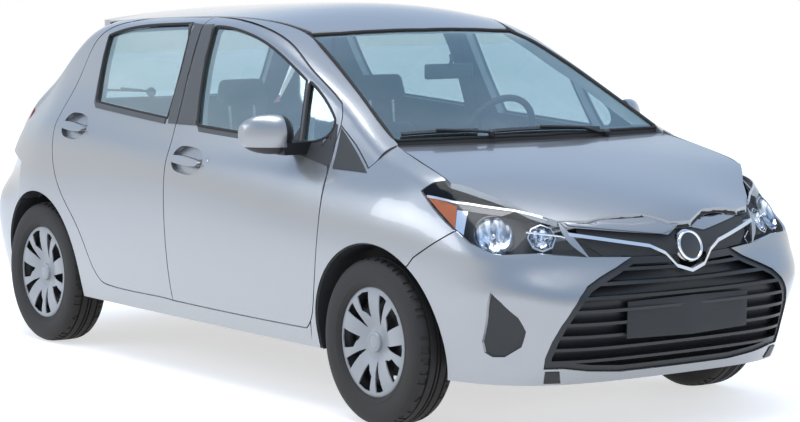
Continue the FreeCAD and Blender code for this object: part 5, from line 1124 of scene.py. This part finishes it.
@dataclass
class SideTrims:
    """Window seals, belt mouldings, pillar covers and the mirror's garnish, on both sides."""

    seal_radius: float = 0.0062
    belt_height: float = 0.021
    rear_cover: tuple[tuple[Pair, Pair], ...] = (
        ((-0.169, 0.677), (-0.238, 0.945)), ((-0.118, 0.677), (-0.1365, 0.941)))
    front_cover: tuple[tuple[Pair, Pair], ...] = (
        ((-0.1125, 0.677), (-0.1305, 0.941)), ((-0.004, 0.678), (-0.074, 0.943)))
    garnish_top: tuple[Pair, ...] = ((0.658, 0.716), (0.700, 0.705))
    garnish_low: tuple[Pair, ...] = ((0.505, 0.638), (0.739, 0.606))
    corner_top: tuple[Pair, ...] = ((0.706, 0.7015), (0.900, 0.6065))
    corner_low: tuple[Pair, ...] = ((0.7465, 0.606), (0.902, 0.6045))

    def build(self) -> None:
        """Builds the right side's trims and their copies on the left."""
        self.doors = Skin("front_door_right", "rear_door_right")
        outward = Vector((0.0, -1.0, 0.15))
        self.loops = {door: plate_loops(f"{door}_door_glass_right", outward) for door in ("front", "rear")}
        self.seals()
        self.belts()
        self.covers()
        self.garnish()
        self.window_bar()

    def trim(self, name: str, lines: Sequence[Sequence[Vector]], body: str, finish: str = "dark_grey_trim",
             rise: float = 0.0008, across: int = 4, thickness: float = 0.0025, round_by: float = 0.0008,
             skin: Optional[Skin] = None) -> None:
        """Lays one trim on the right side, with a copy on the left."""
        piece = Bench(f"{name}_right").sheet(
            *lines, thickness, round_by=round_by, skin=skin or self.doors, inward=LEFTWARD, rise=rise, across=across)
        piece.dress_pair(finish, body)

    def seals(self) -> None:
        """Rubber seals round the door windows."""
        for door, loops in self.loops.items():
            for number, (loop, count) in enumerate(zip(loops, (150, 70))):
                raised = [point + Vector((0.0, -0.0068, 0.002)) for point in evenly(loop, count, closed=True)]
                piece = Bench(f"seal_{door}_{number}_right").tube(raised, self.seal_radius, closed=True)
                piece.dress_pair("rubber_seal", f"door_{door}_right")

    def belts(self) -> None:
        """Dark mouldings under the door windows."""
        for (door, loops), back in zip(self.loops.items(), (0.012, 0.006)):
            low = min(point.x for point in loops[0]) + back
            high = max(point.x for point in loops[0]) - 0.012
            edge = [Vector((x, 0.0, edge_at(loops[0], 0, x, False))) for x in spread(low, high, count=25)]
            lines = [[spot + Vector((0.0, 0.0, -drop)) for spot in edge] for drop in (0.001, self.belt_height)]
            self.trim(f"belt_{door}", lines, f"door_{door}_right", rise=0.0005, thickness=0.0035, round_by=0.0010)

    def covers(self) -> None:
        """Satin covers on the middle pillar."""
        for door, edges in (("rear", self.rear_cover), ("front", self.front_cover)):
            lines = [side_line(edge, count=25) for edge in edges]
            self.trim(f"pillar_cover_{door}", lines, f"door_{door}_right", thickness=0.0022)

    def garnish(self) -> None:
        """Black garnish at the foot of the mirror, on the door and on the corner ahead of it."""
        small = self.loops["front"][1]
        back = min(point.x for point in small)
        front = max(point.x for point in small)
        places = spread(back + (front - back) * 0.02, back + (front - back) * 0.98, count=9)
        sill = [Vector((x, 0.0, edge_at(small, 0, x, False) - 0.002)) for x in places]
        top = evenly(sill + [side_place(*spot) for spot in self.garnish_top], count=24)
        look = {"finish": "grained_black", "rise": 0.0010, "thickness": 0.0030, "round_by": 0.0010}
        self.trim("garnish_door", (top, side_line(self.garnish_low, count=24)), "door_front_right", across=6, **look)
        shell = Skin("front_door_right", "rear_door_right", "body_side_right", "fenders", "cowl")
        lines = (side_line(self.corner_top, count=20), side_line(self.corner_low, count=20))
        self.trim("garnish_corner", lines, "shell", across=5, skin=shell, **look)

    def window_bar(self) -> None:
        """The bar between the door's window and the small one ahead of it."""
        large, small = self.loops["front"][:2]
        levels = spread(min(point.z for point in small) + 0.004, max(point.z for point in small) - 0.004, count=13)
        lines = [[Vector((edge_at(loop, 2, z, far) + overlap, 0.0, z)) for z in levels]
                 for loop, far, overlap in ((large, True, 0.002), (small, False, -0.002))]
        self.trim("window_bar", lines, "door_front_right", across=3)


@dataclass
class Headlamps:
    """Housings, reflectors, bulbs and strips behind the clear lenses."""

    sight: Place = (-0.55, 0.62, -0.56)
    bowl_axis: Place = (0.75, -0.38, 0.45)
    bowl_depth_share: float = 0.36
    brow: tuple[Place, ...] = (
        (1.4119, -0.7421, 0.8470), (1.5247, -0.7045, 0.8326), (1.6025, -0.6332, 0.8208),
        (1.6687, -0.5534, 0.8076), (1.7432, -0.4669, 0.7774))
    chin: tuple[Place, ...] = (
        (1.4400, -0.7440, 0.8000), (1.5520, -0.7464, 0.7500), (1.6850, -0.7097, 0.6850),
        (1.7600, -0.5952, 0.6900), (1.8050, -0.4700, 0.6650))
    cap_low: tuple[Place, ...] = (
        (1.4300, -0.7440, 0.8350), (1.5450, -0.7100, 0.8050), (1.6000, -0.6600, 0.7920), (1.6550, -0.6000, 0.7830))
    amber: tuple[Place, ...] = (
        (1.3990, -0.7424, 0.8450), (1.5383, -0.7060, 0.8150), (1.5675, -0.7408, 0.7450))
    strip: tuple[Place, ...] = ((1.7396, -0.5608, 0.7361), (1.8131, -0.4347, 0.7173))
    bowls: tuple[tuple[Place, float, int, str, float], ...] = (
        ((1.6798, -0.6577, 0.7352), 0.068, 48, "gloss_black", 50.0),
        ((1.7727, -0.5212, 0.7210), 0.046, 8, "satin_silver", 20.0))
    band: tuple[Place, ...] = ((1.5700, -0.6800, 0.8040), (1.6000, -0.7250, 0.7180))

    def build(self) -> None:
        """Builds the right lamp's inside and its copy on the left."""
        self.skin = Skin("headlamps", reach=0.0)
        self.look = Vector(self.sight).normalized()
        brow = evenly(self.brow, count=25)
        brow_low = [spot + Vector((0.0, 0.0, -0.011)) for spot in brow]
        cap_top = [spot + Vector((0.0, 0.0, -0.012)) for spot in evenly(self.brow[:4], count=17)]
        tail, front, low = self.amber
        for name, first, second, rise, across, finish in (
                ("housing", brow, evenly(self.chin, count=25), -0.055, 10, "lamp_housing"),
                ("brow", brow, brow_low, -0.004, 2, "satin_silver"),
                ("cap", cap_top, evenly(self.cap_low, count=17), -0.006, 4, "gloss_black"),
                ("band", evenly([front, low], count=9), evenly(self.band, count=9), -0.008, 4, "lamp_reflector"),
                ("amber", evenly([tail, front], count=9), evenly([tail, low], count=9), -0.005, 4, "amber_lens")):
            sheet = Bench(f"lamp_{name}_right").sheet(
                first, second, thickness=0.002, offset=0.0,
                skin=self.skin, inward=self.look, rise=rise, across=across)
            sheet.dress_pair(finish)
        strip = self.skin.line(evenly(self.strip, count=9), self.look, rise=-0.007)
        Bench("lamp_strip_right").tube(strip, radius=0.0035).dress_pair("chrome")
        for number, (spot, radius, steps, finish, angle) in enumerate(self.bowls):
            self.bowl(number, Vector(spot), radius, steps, finish, angle)

    def bowl(self, number: int, spot: Vector, radius: float, steps: int, finish: str, angle: float) -> None:
        """Turns one reflector with its ring and its bulb.

        Args:
            number: Which one.
            spot: Where its axis meets the lens.
            radius: Its radius.
            steps: Its corners.
            finish: The ring's finish.
            angle: The reflector's smoothing angle.
        """
        axis = Vector(self.bowl_axis).normalized()
        centre = self.skin.lay(spot, self.look) + self.look * (radius * self.bowl_depth_share)
        profile = [(radius, 0.0), (radius * 0.97, -0.006), (radius * 0.86, -0.014), (radius * 0.64, -0.021),
                   (radius * 0.30, -0.025)]
        dish = Bench(f"lamp_bowl_{number}_right").turn(profile, centre, axis, steps, cap=True)
        dish.wall(thickness=0.0012, offset=0.0).dress_pair("faceted_reflector", angle=angle)
        rim = [(radius + 0.001, 0.002), (radius + 0.005, 0.001), (radius + 0.005, -0.006), (radius + 0.001, -0.006)]
        ring = Bench(f"lamp_ring_{number}_right").turn(rim, centre, axis, steps, closed=True)
        ring.dress_pair(finish)
        bulb = [(0.0085, -0.025), (0.0095, -0.016), (0.0085, -0.009), (0.0050, -0.004), (0.0015, -0.003)]
        glow = Bench(f"lamp_bulb_{number}_right").turn(bulb, centre, axis, steps=24, cap=True)
        glow.dress_pair("chrome")


@dataclass
class Nose:
    """Badge ring, blank plate, bumper legs, the painted bar and a black strip of painted shade on the bonnet's lip.
    """

    leg_outer: tuple[Place, ...] = ((0.0, -0.5400, 0.256), (0.0, -0.5370, 0.236), (0.0, -0.5330, 0.214))
    leg_inner: tuple[Place, ...] = ((0.0, -0.4950, 0.256), (0.0, -0.4880, 0.236), (0.0, -0.4780, 0.214))
    plate_top: tuple[Place, ...] = ((1.950, -0.280, 0.494), (1.972, 0.0, 0.500), (1.950, 0.280, 0.494))
    plate_low: tuple[Place, ...] = ((1.946, -0.280, 0.365), (1.966, 0.0, 0.360), (1.946, 0.280, 0.365))
    bar_top: tuple[Pair, ...] = (
        (0.428, 0.7655), (0.300, 0.7575), (0.190, 0.7500), (0.130, 0.7550), (0.060, 0.7650), (0.0, 0.7685))
    bar_low: tuple[Pair, ...] = (
        (0.420, 0.7510), (0.318, 0.7395), (0.182, 0.7235), (0.105, 0.7140), (0.060, 0.7240), (0.0, 0.7360))
    lip_half: float = 0.432
    lip_levels: Pair = (0.700, 0.819)
    lip_depth: float = 0.004
    badge_share: float = 0.450

    def build(self) -> None:
        """Builds the pieces of the nose."""
        self.badge()
        self.bar()
        self.lip_seal()
        leg = Bench("bumper_leg_right").sheet(
            evenly(self.leg_outer, count=13), evenly(self.leg_inner, count=13), thickness=0.0025,
            skin=Skin("front_bumper"), inward=ASTERN, rise=0.001, across=5)
        leg.dress_pair("black_trim")
        plate = Bench("blank_front_plate").sheet(
            evenly(self.plate_top, count=13), evenly(self.plate_low, count=13), thickness=0.006, offset=0.0,
            round_by=0.0015, across=4)
        plate.dress("grained_black")

    def bar(self) -> None:
        """The painted bar between the bonnet and the upper grille."""
        skin = Skin("front_bumper", "upper_grille")
        for hand, side in HANDS:
            upper, lower = (evenly([(0.0, side * y, z) for y, z in edge], count=25)
                            for edge in (self.bar_top, self.bar_low))
            piece = Bench(f"nose_bar_{hand}").sheet(
                upper, lower, thickness=0.0025, round_by=0.0008, skin=skin, inward=ASTERN, rise=0.0012, across=4)
            piece.dress("silver_paint")

    def lip_seal(self) -> None:
        """A black strip over the front face of the bonnet's lip, painted shade for the dark shut line."""
        bonnet = Skin("bonnet").tree
        foot, top = [], []
        for y in spread(-self.lip_half, self.lip_half, count=49):
            sights = (Vector((3.0, y, level)) for level in spread(*self.lip_levels, 120))
            hits = [hit for hit in (bonnet.ray_cast(sight, ASTERN)[0] for sight in sights) if hit]
            nearest = max(hit.x for hit in hits)
            face = [hit for hit in hits if hit.x > nearest - self.lip_depth]
            foot.append(min(face, key=lambda hit: hit.z) + Vector((0.0008, 0.0, 0.0)))
            top.append(max(face, key=lambda hit: hit.z) + Vector((0.0008, 0.0, -0.002)))
        # Black over the painted lip face: painted shade that stands for the shut line's gap.
        seal = Bench("bonnet_lip_seal").sheet(top, foot, thickness=0.0015, offset=0.0, across=2)
        seal.dress("rubber_seal", "bonnet_lid")

    def badge(self) -> None:
        """A plain chrome ring round a bare black disc."""
        skin = Skin("grille_trim")
        height = self.badge_share * HEIGHT
        middle, above, below = (skin.lay(Vector((0.0, 0.0, height + step)), ASTERN) for step in (0.0, 0.03, -0.03))
        axis = LEFTWARD.cross((above - below).normalized()).normalized()
        if axis.x < 0.0:
            axis = -axis
        disc = [(0.0500, 0.0005), (0.0500, 0.0020), (0.0300, 0.0042), (0.0030, 0.0050)]
        Bench("badge_disc").turn(disc, middle, axis, steps=64, cap=True).dress("gloss_black")
        ring = [(0.0460, 0.0020), (0.0475, 0.0065), (0.0505, 0.0080), (0.0535, 0.0062), (0.0548, 0.0010)]
        piece = Bench("badge_ring").turn(ring, middle, axis, steps=72).wall(thickness=0.0008, offset=0.0)
        piece.dress("chrome", angle=60.0)


@dataclass
class MirrorsAndWipers:
    """Mirror glasses, wiper arms and wiper blades."""

    glass_middle: Pair = (-0.880, 1.019)
    glass_half: Pair = (0.062, 0.046)
    blade_half: float = 0.007
    blades: tuple[tuple[Place, Place, Place], ...] = (
        ((1.040, -0.585, 1.02), (1.080, -0.265, 1.02), (1.105, -0.225, 1.00)),
        ((1.092, -0.215, 1.02), (1.098, 0.305, 1.01), (1.110, 0.330, 1.00)))

    def build(self) -> None:
        """Builds the glasses and both wipers."""
        self.glass()
        screen = Skin("windscreen", "cowl", "bonnet")
        for number, (tip, heel, pivot) in enumerate(self.blades):
            self.wiper(number, screen, evenly([tip, heel], count=17), Vector(pivot))

    def glass(self) -> None:
        """The oval glass in each mirror."""
        (y, z), (half_width, half_height) = self.glass_middle, self.glass_half
        upper, lower = (
            [Vector((0.0, y + half_width * math.cos(turn), z + side * half_height * math.sin(turn)))
             for turn in spread(0.0, math.pi, 17)] for side in (1.0, -1.0))
        glass = Bench("mirror_glass_right").patch(upper, lower, Skin("mirror_right"), AHEAD, rise=0.0006, across=8)
        glass.outward(WELD).wall(thickness=0.0015, offset=1.0).dress_pair("chrome", "door_front_right")

    def wiper(self, number: int, screen: Skin, line: Sequence[Vector], pivot: Vector) -> None:
        """Builds one wiper: its rubber, spine, arm and pivot.

        Args:
            number: Which one.
            screen: The faces that it lies on.
            line: The blade's line.
            pivot: Where the arm turns.
        """
        rubber = Bench(f"wiper_rubber_{number}").tube(screen.line(line, DOWN, rise=0.0065), radius=0.0045)
        rubber.dress("rubber_seal", replaces=("wipers",))
        lines = [[spot + AHEAD * shift for spot in line] for shift in (-self.blade_half, self.blade_half)]
        spine = Bench(f"wiper_spine_{number}").sheet(
            *lines, thickness=0.003, offset=0.0, skin=screen, inward=DOWN, rise=0.012, across=2)
        middle = line[7]
        arm = screen.line(evenly([pivot, (pivot + middle) / 2, middle], count=9), DOWN, rise=0.018)
        knob = [(0.013, -0.012), (0.013, 0.004), (0.009, 0.008), (0.002, 0.009)]
        for piece in (spine, Bench(f"wiper_arm_{number}").tube(arm, radius=0.0055),
                      Bench(f"wiper_pivot_{number}").turn(knob, arm[0], Vector((0.3, 0.0, 1.0)), steps=24, cap=True)):
            piece.dress("black_trim")


@dataclass
class Cabin:
    """Stuffed seats with their bases, the inner mirror and the gear lever."""

    voxel: float = 0.011
    swell: float = 0.022
    cloth_pressure: float = 4.0
    cloth_frames: int = 20
    channel: float = 0.007
    seat_y: float = 0.355
    front_fill: float = 0.7
    rear_fill: float = 0.6
    front_pads: tuple[tuple[str, tuple[Pair, ...], float, float, tuple[float, ...]], ...] = (
        ("front_cushion", ((-0.220, 0.385), (-0.215, 0.470), (0.150, 0.487), (0.158, 0.400)), 0.225, 1.0, (0.135,)),
        ("front_back", ((-0.235, 0.475), (-0.370, 0.985), (-0.448, 0.985), (-0.318, 0.455)), 0.225, 0.84, (0.130,)),
        ("front_headrest", ((-0.368, 1.062), (-0.395, 1.172), (-0.442, 1.170), (-0.446, 1.064)), 0.115, 0.90, ()))
    rear_back: tuple[Pair, ...] = ((-0.962, 0.505), (-1.085, 0.930), (-1.150, 0.930), (-1.040, 0.495))
    rear_cushion: tuple[Pair, ...] = ((-0.945, 0.385), (-0.945, 0.480), (-0.620, 0.496), (-0.612, 0.390))

    def build(self) -> None:
        """Builds the right front seat, its copy, the rear seat and the fittings."""
        for name, corners, half, taper, seams in self.front_pads:
            piece = self.pad(f"{name}_right", corners, -self.seat_y, half, taper, seams)
            twin = piece.copy(f"{name}_left", mirrored=True)
            for seat in (piece, twin):
                self.upholster(seat, "front_seats")
        self.frames()
        for name, corners, middle, half, taper, seams in (
                ("rear_cushion", self.rear_cushion, 0.0, 0.515, 1.0, (0.18,)),
                ("rear_back_right", self.rear_back, -0.290, 0.230, 0.95, ()),
                ("rear_back_left", self.rear_back, 0.240, 0.280, 0.95, ())):
            self.upholster(self.pad(name, corners, middle, half, taper, seams), "rear_seat")
        self.box("rear_seat_base", (-0.950, -0.520, 0.352), (-0.640, 0.520, 0.382), "dash_plastic", 0.010)
        self.inner_mirror()
        self.gear_lever()

    def upholster(self, piece: Bench, node: str) -> None:
        piece.dress("seat_cloth", "shell", 60.0, (node,))

    def pad(self, name: str, corners: Sequence[Pair], middle: float, half: float, taper: float,
            seams: Sequence[float]) -> Bench:
        """Makes one stuffed pad.

        Args:
            name: The pad's name.
            corners: X and Z of its four corners seen from the side, the top ones second and third.
            middle: Y of its middle.
            half: Half its width.
            taper: Its width at the top for 1 at the foot.
            seams: How far from the middle the sewn channels run.

        Returns:
            The pad.
        """
        outline = [Vector((x, middle - half, z)) for x, z in corners]
        piece = Bench(name).plate(outline, LEFTWARD * (2.0 * half))
        height = (corners[1][1] + corners[0][1]) / 2
        piece.open()
        piece.pick("VERT", lambda vert: vert.co.z > height)
        bpy.ops.transform.resize(value=(1.0, taper, 1.0), center_override=(0.0, middle, 0.0))
        piece.shut()
        piece.soften(width=0.026, segments=4, angle=30.0).modify("REMESH", mode="VOXEL", voxel_size=self.voxel)
        self.swell_up(piece)
        for offset in seams:
            for vert, normal in [(vert, vert.normal.copy()) for vert in piece.piece.data.vertices]:
                for place in (middle - offset, middle + offset):
                    vert.co -= normal * self.channel * math.exp(-((vert.co.y - place) / self.channel) ** 2)
        return piece.modify("SUBSURF", levels=1, render_levels=1)

    def swell_up(self, piece: Bench) -> None:
        """Blows a pad up as cloth under pressure and caps how far a point moves.

        Args:
            piece: The pad.
        """
        before = [vert.co.copy() for vert in piece.piece.data.vertices]
        piece.wake()
        cloth = piece.piece.modifiers.new("cloth", "CLOTH")
        cloth.settings.use_pressure = True
        cloth.settings.uniform_pressure_force = self.cloth_pressure
        cloth.settings.effector_weights.gravity = 0.0
        cloth.point_cache.frame_start = 1
        cloth.point_cache.frame_end = self.cloth_frames
        for step in range(self.cloth_frames):
            bpy.context.scene.frame_set(step + 1)
        bpy.ops.object.modifier_apply(modifier=cloth.name)
        bpy.context.scene.frame_set(1)
        for vert, start in zip(piece.piece.data.vertices, before):
            move = vert.co - start
            if move.length > self.swell:
                vert.co = start + move * (self.swell / move.length)

    def box(self, name: str, low: Place, high: Place, finish: str, round_by: float) -> None:
        """A rounded box on the shell.

        Args:
            name: Its name.
            low: Its low corner.
            high: Its high corner.
            finish: Its finish.
            round_by: How much its edges are rounded.
        """
        outline = [Vector((x, low[1], z)) for x, z in (
            (low[0], low[2]), (high[0], low[2]), (high[0], high[2]), (low[0], high[2]))]
        piece = Bench(name).plate(outline, LEFTWARD * (high[1] - low[1]))
        piece.soften(round_by, segments=3).dress(finish)

    def frames(self) -> None:
        """Bases, runners and headrest posts of the front seats."""
        for hand, side in HANDS:
            middle = side * self.seat_y
            self.box(f"seat_base_{hand}", (-0.290, middle - 0.21, 0.330), (0.125, middle + 0.21, 0.378),
                     "dash_plastic", 0.014)
            for number, shift in enumerate((-0.17, 0.17)):
                runner, post = middle + shift, middle + shift * 0.35
                self.box(f"seat_runner_{number}_{hand}", (-0.330, runner - 0.018, 0.257),
                         (0.150, runner + 0.018, 0.330), "black_steel", 0.004)
                line = [(-0.402, post, 0.96), (-0.416, post, 1.09)]
                rod = Bench(f"headrest_post_{number}_{hand}").tube(line, radius=0.006)
                rod.dress("satin_silver")

    def inner_mirror(self) -> None:
        """The inner mirror on its stalk under the windscreen."""
        spot = Skin("windscreen").lay(Vector((0.0, 0.0, 1.300)), ASTERN, rise=-0.060)
        self.box("inner_mirror", (spot.x - 0.014, -0.115, spot.z - 0.048), (spot.x + 0.006, 0.115, spot.z + 0.012),
                 "black_trim", 0.009)
        self.box("inner_mirror_glass", (spot.x - 0.0155, -0.106, spot.z - 0.041),
                 (spot.x - 0.0135, 0.106, spot.z + 0.005), "chrome", 0.0008)
        stalk = [spot + Vector((ahead, 0.0, rise)) for ahead, rise in ((0.004, 0.0), (0.016, 0.028), (0.010, 0.048))]
        Bench("inner_mirror_stalk").tube(stalk, radius=0.008).dress("black_trim")

    def gear_lever(self) -> None:
        """The gear lever with its knob and its console."""
        self.box("gear_console", (0.020, -0.085, 0.300), (0.560, 0.085, 0.420), "dash_plastic", 0.030)
        lever = [(0.330, 0.0, 0.410), (0.318, 0.0, 0.520), (0.312, 0.0, 0.560)]
        Bench("gear_lever").tube(lever, radius=0.007).dress("satin_silver")
        profile = [(0.010, -0.030), (0.020, -0.018), (0.023, 0.0), (0.019, 0.017), (0.006, 0.024)]
        knob = Bench("gear_knob").turn(profile, Vector(lever[-1]), Vector((-0.05, 0.0, 1.0)), steps=28, cap=True)
        knob.dress("dash_plastic")


@dataclass
class Rear:
    """Plate, handle, lamps, wiper and window seals at the rear, with the windscreen's seal and the door lock."""

    hatch_strips: tuple[tuple[str, float, Pair, float, float, str], ...] = (
        ("plate_recess", 0.290, (0.765, 0.902), 0.0008, 0.0015, "grained_black"),
        ("blank_rear_plate", 0.260, (0.782, 0.892), 0.0035, 0.0020, "plate_blank"),
        ("hatch_handle", 0.300, (0.906, 0.928), 0.0005, 0.0110, "silver_paint"),
        ("high_brake_lamp", 0.150, (1.392, 1.406), 0.0005, 0.0040, "red_lens"))
    round_share: float = 0.35
    round_most: float = 0.003
    reflector_ends: Pair = (0.560, 0.680)
    lens_ends: tuple[Pair, Pair] = ((-1.830, -0.560), (-1.690, -0.715))
    lens_levels: Pair = (0.868, 0.836)

    def build(self) -> None:
        """Builds the pieces of the rear."""
        self.hatch = Skin("hatch", "hatch_glass")
        bumper = Skin("rear_bumper")
        for name, half, levels, rise, thickness, finish in self.hatch_strips:
            self.strip(name, self.hatch, (-half, half), levels, rise, thickness, finish, "tailgate")
        self.strip("rear_valance", bumper, (-0.420, 0.420), (0.225, 0.318), 0.0008, 0.0035, "grained_black", "shell")
        for hand, side in HANDS:
            low, high = sorted(side * end for end in self.reflector_ends)
            self.strip(f"rear_reflector_{hand}", bumper, (low, high), (0.385, 0.415), 0.0005, 0.0050, "red_lens",
                       "shell")
        self.seals()
        self.wiper()
        self.lenses()
        self.lock()

    def strip(self, name: str, skin: Skin, across: Pair, levels: Pair, rise: float, thickness: float, finish: str,
              body: str) -> None:
        """Lays a level strip on the rear and gives it its thickness.

        Args:
            name: Its name.
            skin: The faces that carry it.
            across: Y of its ends.
            levels: Z of its edges.
            rise: How far it stands off.
            thickness: Its thickness.
            finish: Its finish.
            body: Its body.
        """
        low, high = (evenly([(0.0, across[0], z), (0.0, across[1], z)], count=25) for z in levels)
        piece = Bench(name).sheet(
            high, low, thickness, round_by=min(thickness * self.round_share, self.round_most),
            skin=skin, inward=AHEAD, rise=rise, across=4)
        piece.dress(finish, body)

    def seals(self) -> None:
        """Black rubber round the rear window and the windscreen."""
        for node, body, way, shift in (
                ("hatch_glass", "tailgate", Vector((-1.0, 0.0, 0.35)), Vector((-0.0020, 0.0, 0.0010))),
                ("windscreen", "shell", Vector((0.6, 0.0, 0.8)), Vector((0.0010, 0.0, 0.0020)))):
            points = [spot + shift for spot in evenly(plate_loops(node, way)[0], count=170, closed=True)]
            Bench(f"{node}_seal").tube(points, radius=0.0065, closed=True).dress("rubber_seal", body)

    def wiper(self) -> None:
        """The rear wiper with its cap."""
        line = self.hatch.line(evenly([(0.0, -0.300, 1.062), (0.0, -0.030, 1.046)], count=13), AHEAD, rise=0.008)
        arm = self.hatch.line(evenly([(0.0, -0.170, 1.056), (0.0, 0.0, 1.036)], count=9), AHEAD, rise=0.017)
        profile = [(0.022, -0.016), (0.022, 0.000), (0.017, 0.006), (0.003, 0.008)]
        cap = Bench("rear_wiper_cap").turn(profile, arm[-1], Vector((-1.0, 0.0, 0.3)), steps=32, cap=True)
        for piece, finish in ((Bench("rear_wiper_blade").tube(line, radius=0.0045), "rubber_seal"),
                              (Bench("rear_wiper_arm").tube(arm, radius=0.0065), "black_trim"), (cap, "black_trim")):
            piece.dress(finish, "tailgate")

    def lenses(self) -> None:
        """The clear lower windows of the tail lamps."""
        inward = Vector((0.85, 0.53, 0.0)).normalized()
        top, low = (evenly([(x, y, level) for x, y in self.lens_ends], count=13) for level in self.lens_levels)
        clear = Bench("reversing_lens_right").sheet(
            top, low, thickness=0.0015, round_by=0.0005, skin=Skin("tail_lamps"), inward=inward, rise=0.0004,
            across=4)
        clear.dress_pair("clear_lens")

    def lock(self) -> None:
        """The lock disc by the front door's handle."""
        spot = Skin("front_door_right").lay(Vector((0.0621, 0.0, 0.8852)), LEFTWARD)
        profile = [(0.0125, -0.001), (0.0125, 0.0010), (0.0110, 0.0020), (0.0020, 0.0021)]
        disc = Bench("door_lock_right").turn(profile, spot, Vector((0.0, -0.91, 0.41)), steps=32, cap=True)
        disc.dress_pair("silver_paint", "door_front_right")


@dataclass
class Running:
    """Brake calipers seen through the arches and from below."""

    caliper: tuple[Pair, ...] = ((1.020, 0.262), (1.088, 0.262), (1.096, 0.350), (1.028, 0.364))
    outer_y: float = -0.745
    thickness: float = 0.062

    def build(self) -> None:
        """Builds the calipers of the front brakes."""
        outline = [Vector((x, self.outer_y, z)) for x, z in self.caliper]
        piece = Bench("brake_caliper_right").plate(outline, LEFTWARD * self.thickness)
        piece.soften(width=0.009, segments=3).dress_pair("cast_steel", "upright_right")


def main() -> None:
    """Builds the scene."""
    logging.basicConfig(level=logging.INFO, format="%(message)s")
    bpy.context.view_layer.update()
    bpy.context.scene.view_settings.view_transform = "Standard"
    make_finishes()
    dress_nodes()
    for maker in (Wheels(), SideTrims(), Headlamps(), Nose(), MirrorsAndWipers(), Cabin(), Rear(), Running()):
        LOG.info("building %s", type(maker).__name__)
        maker.build()
    Studio().build()


if __name__ == "__main__":
    main()
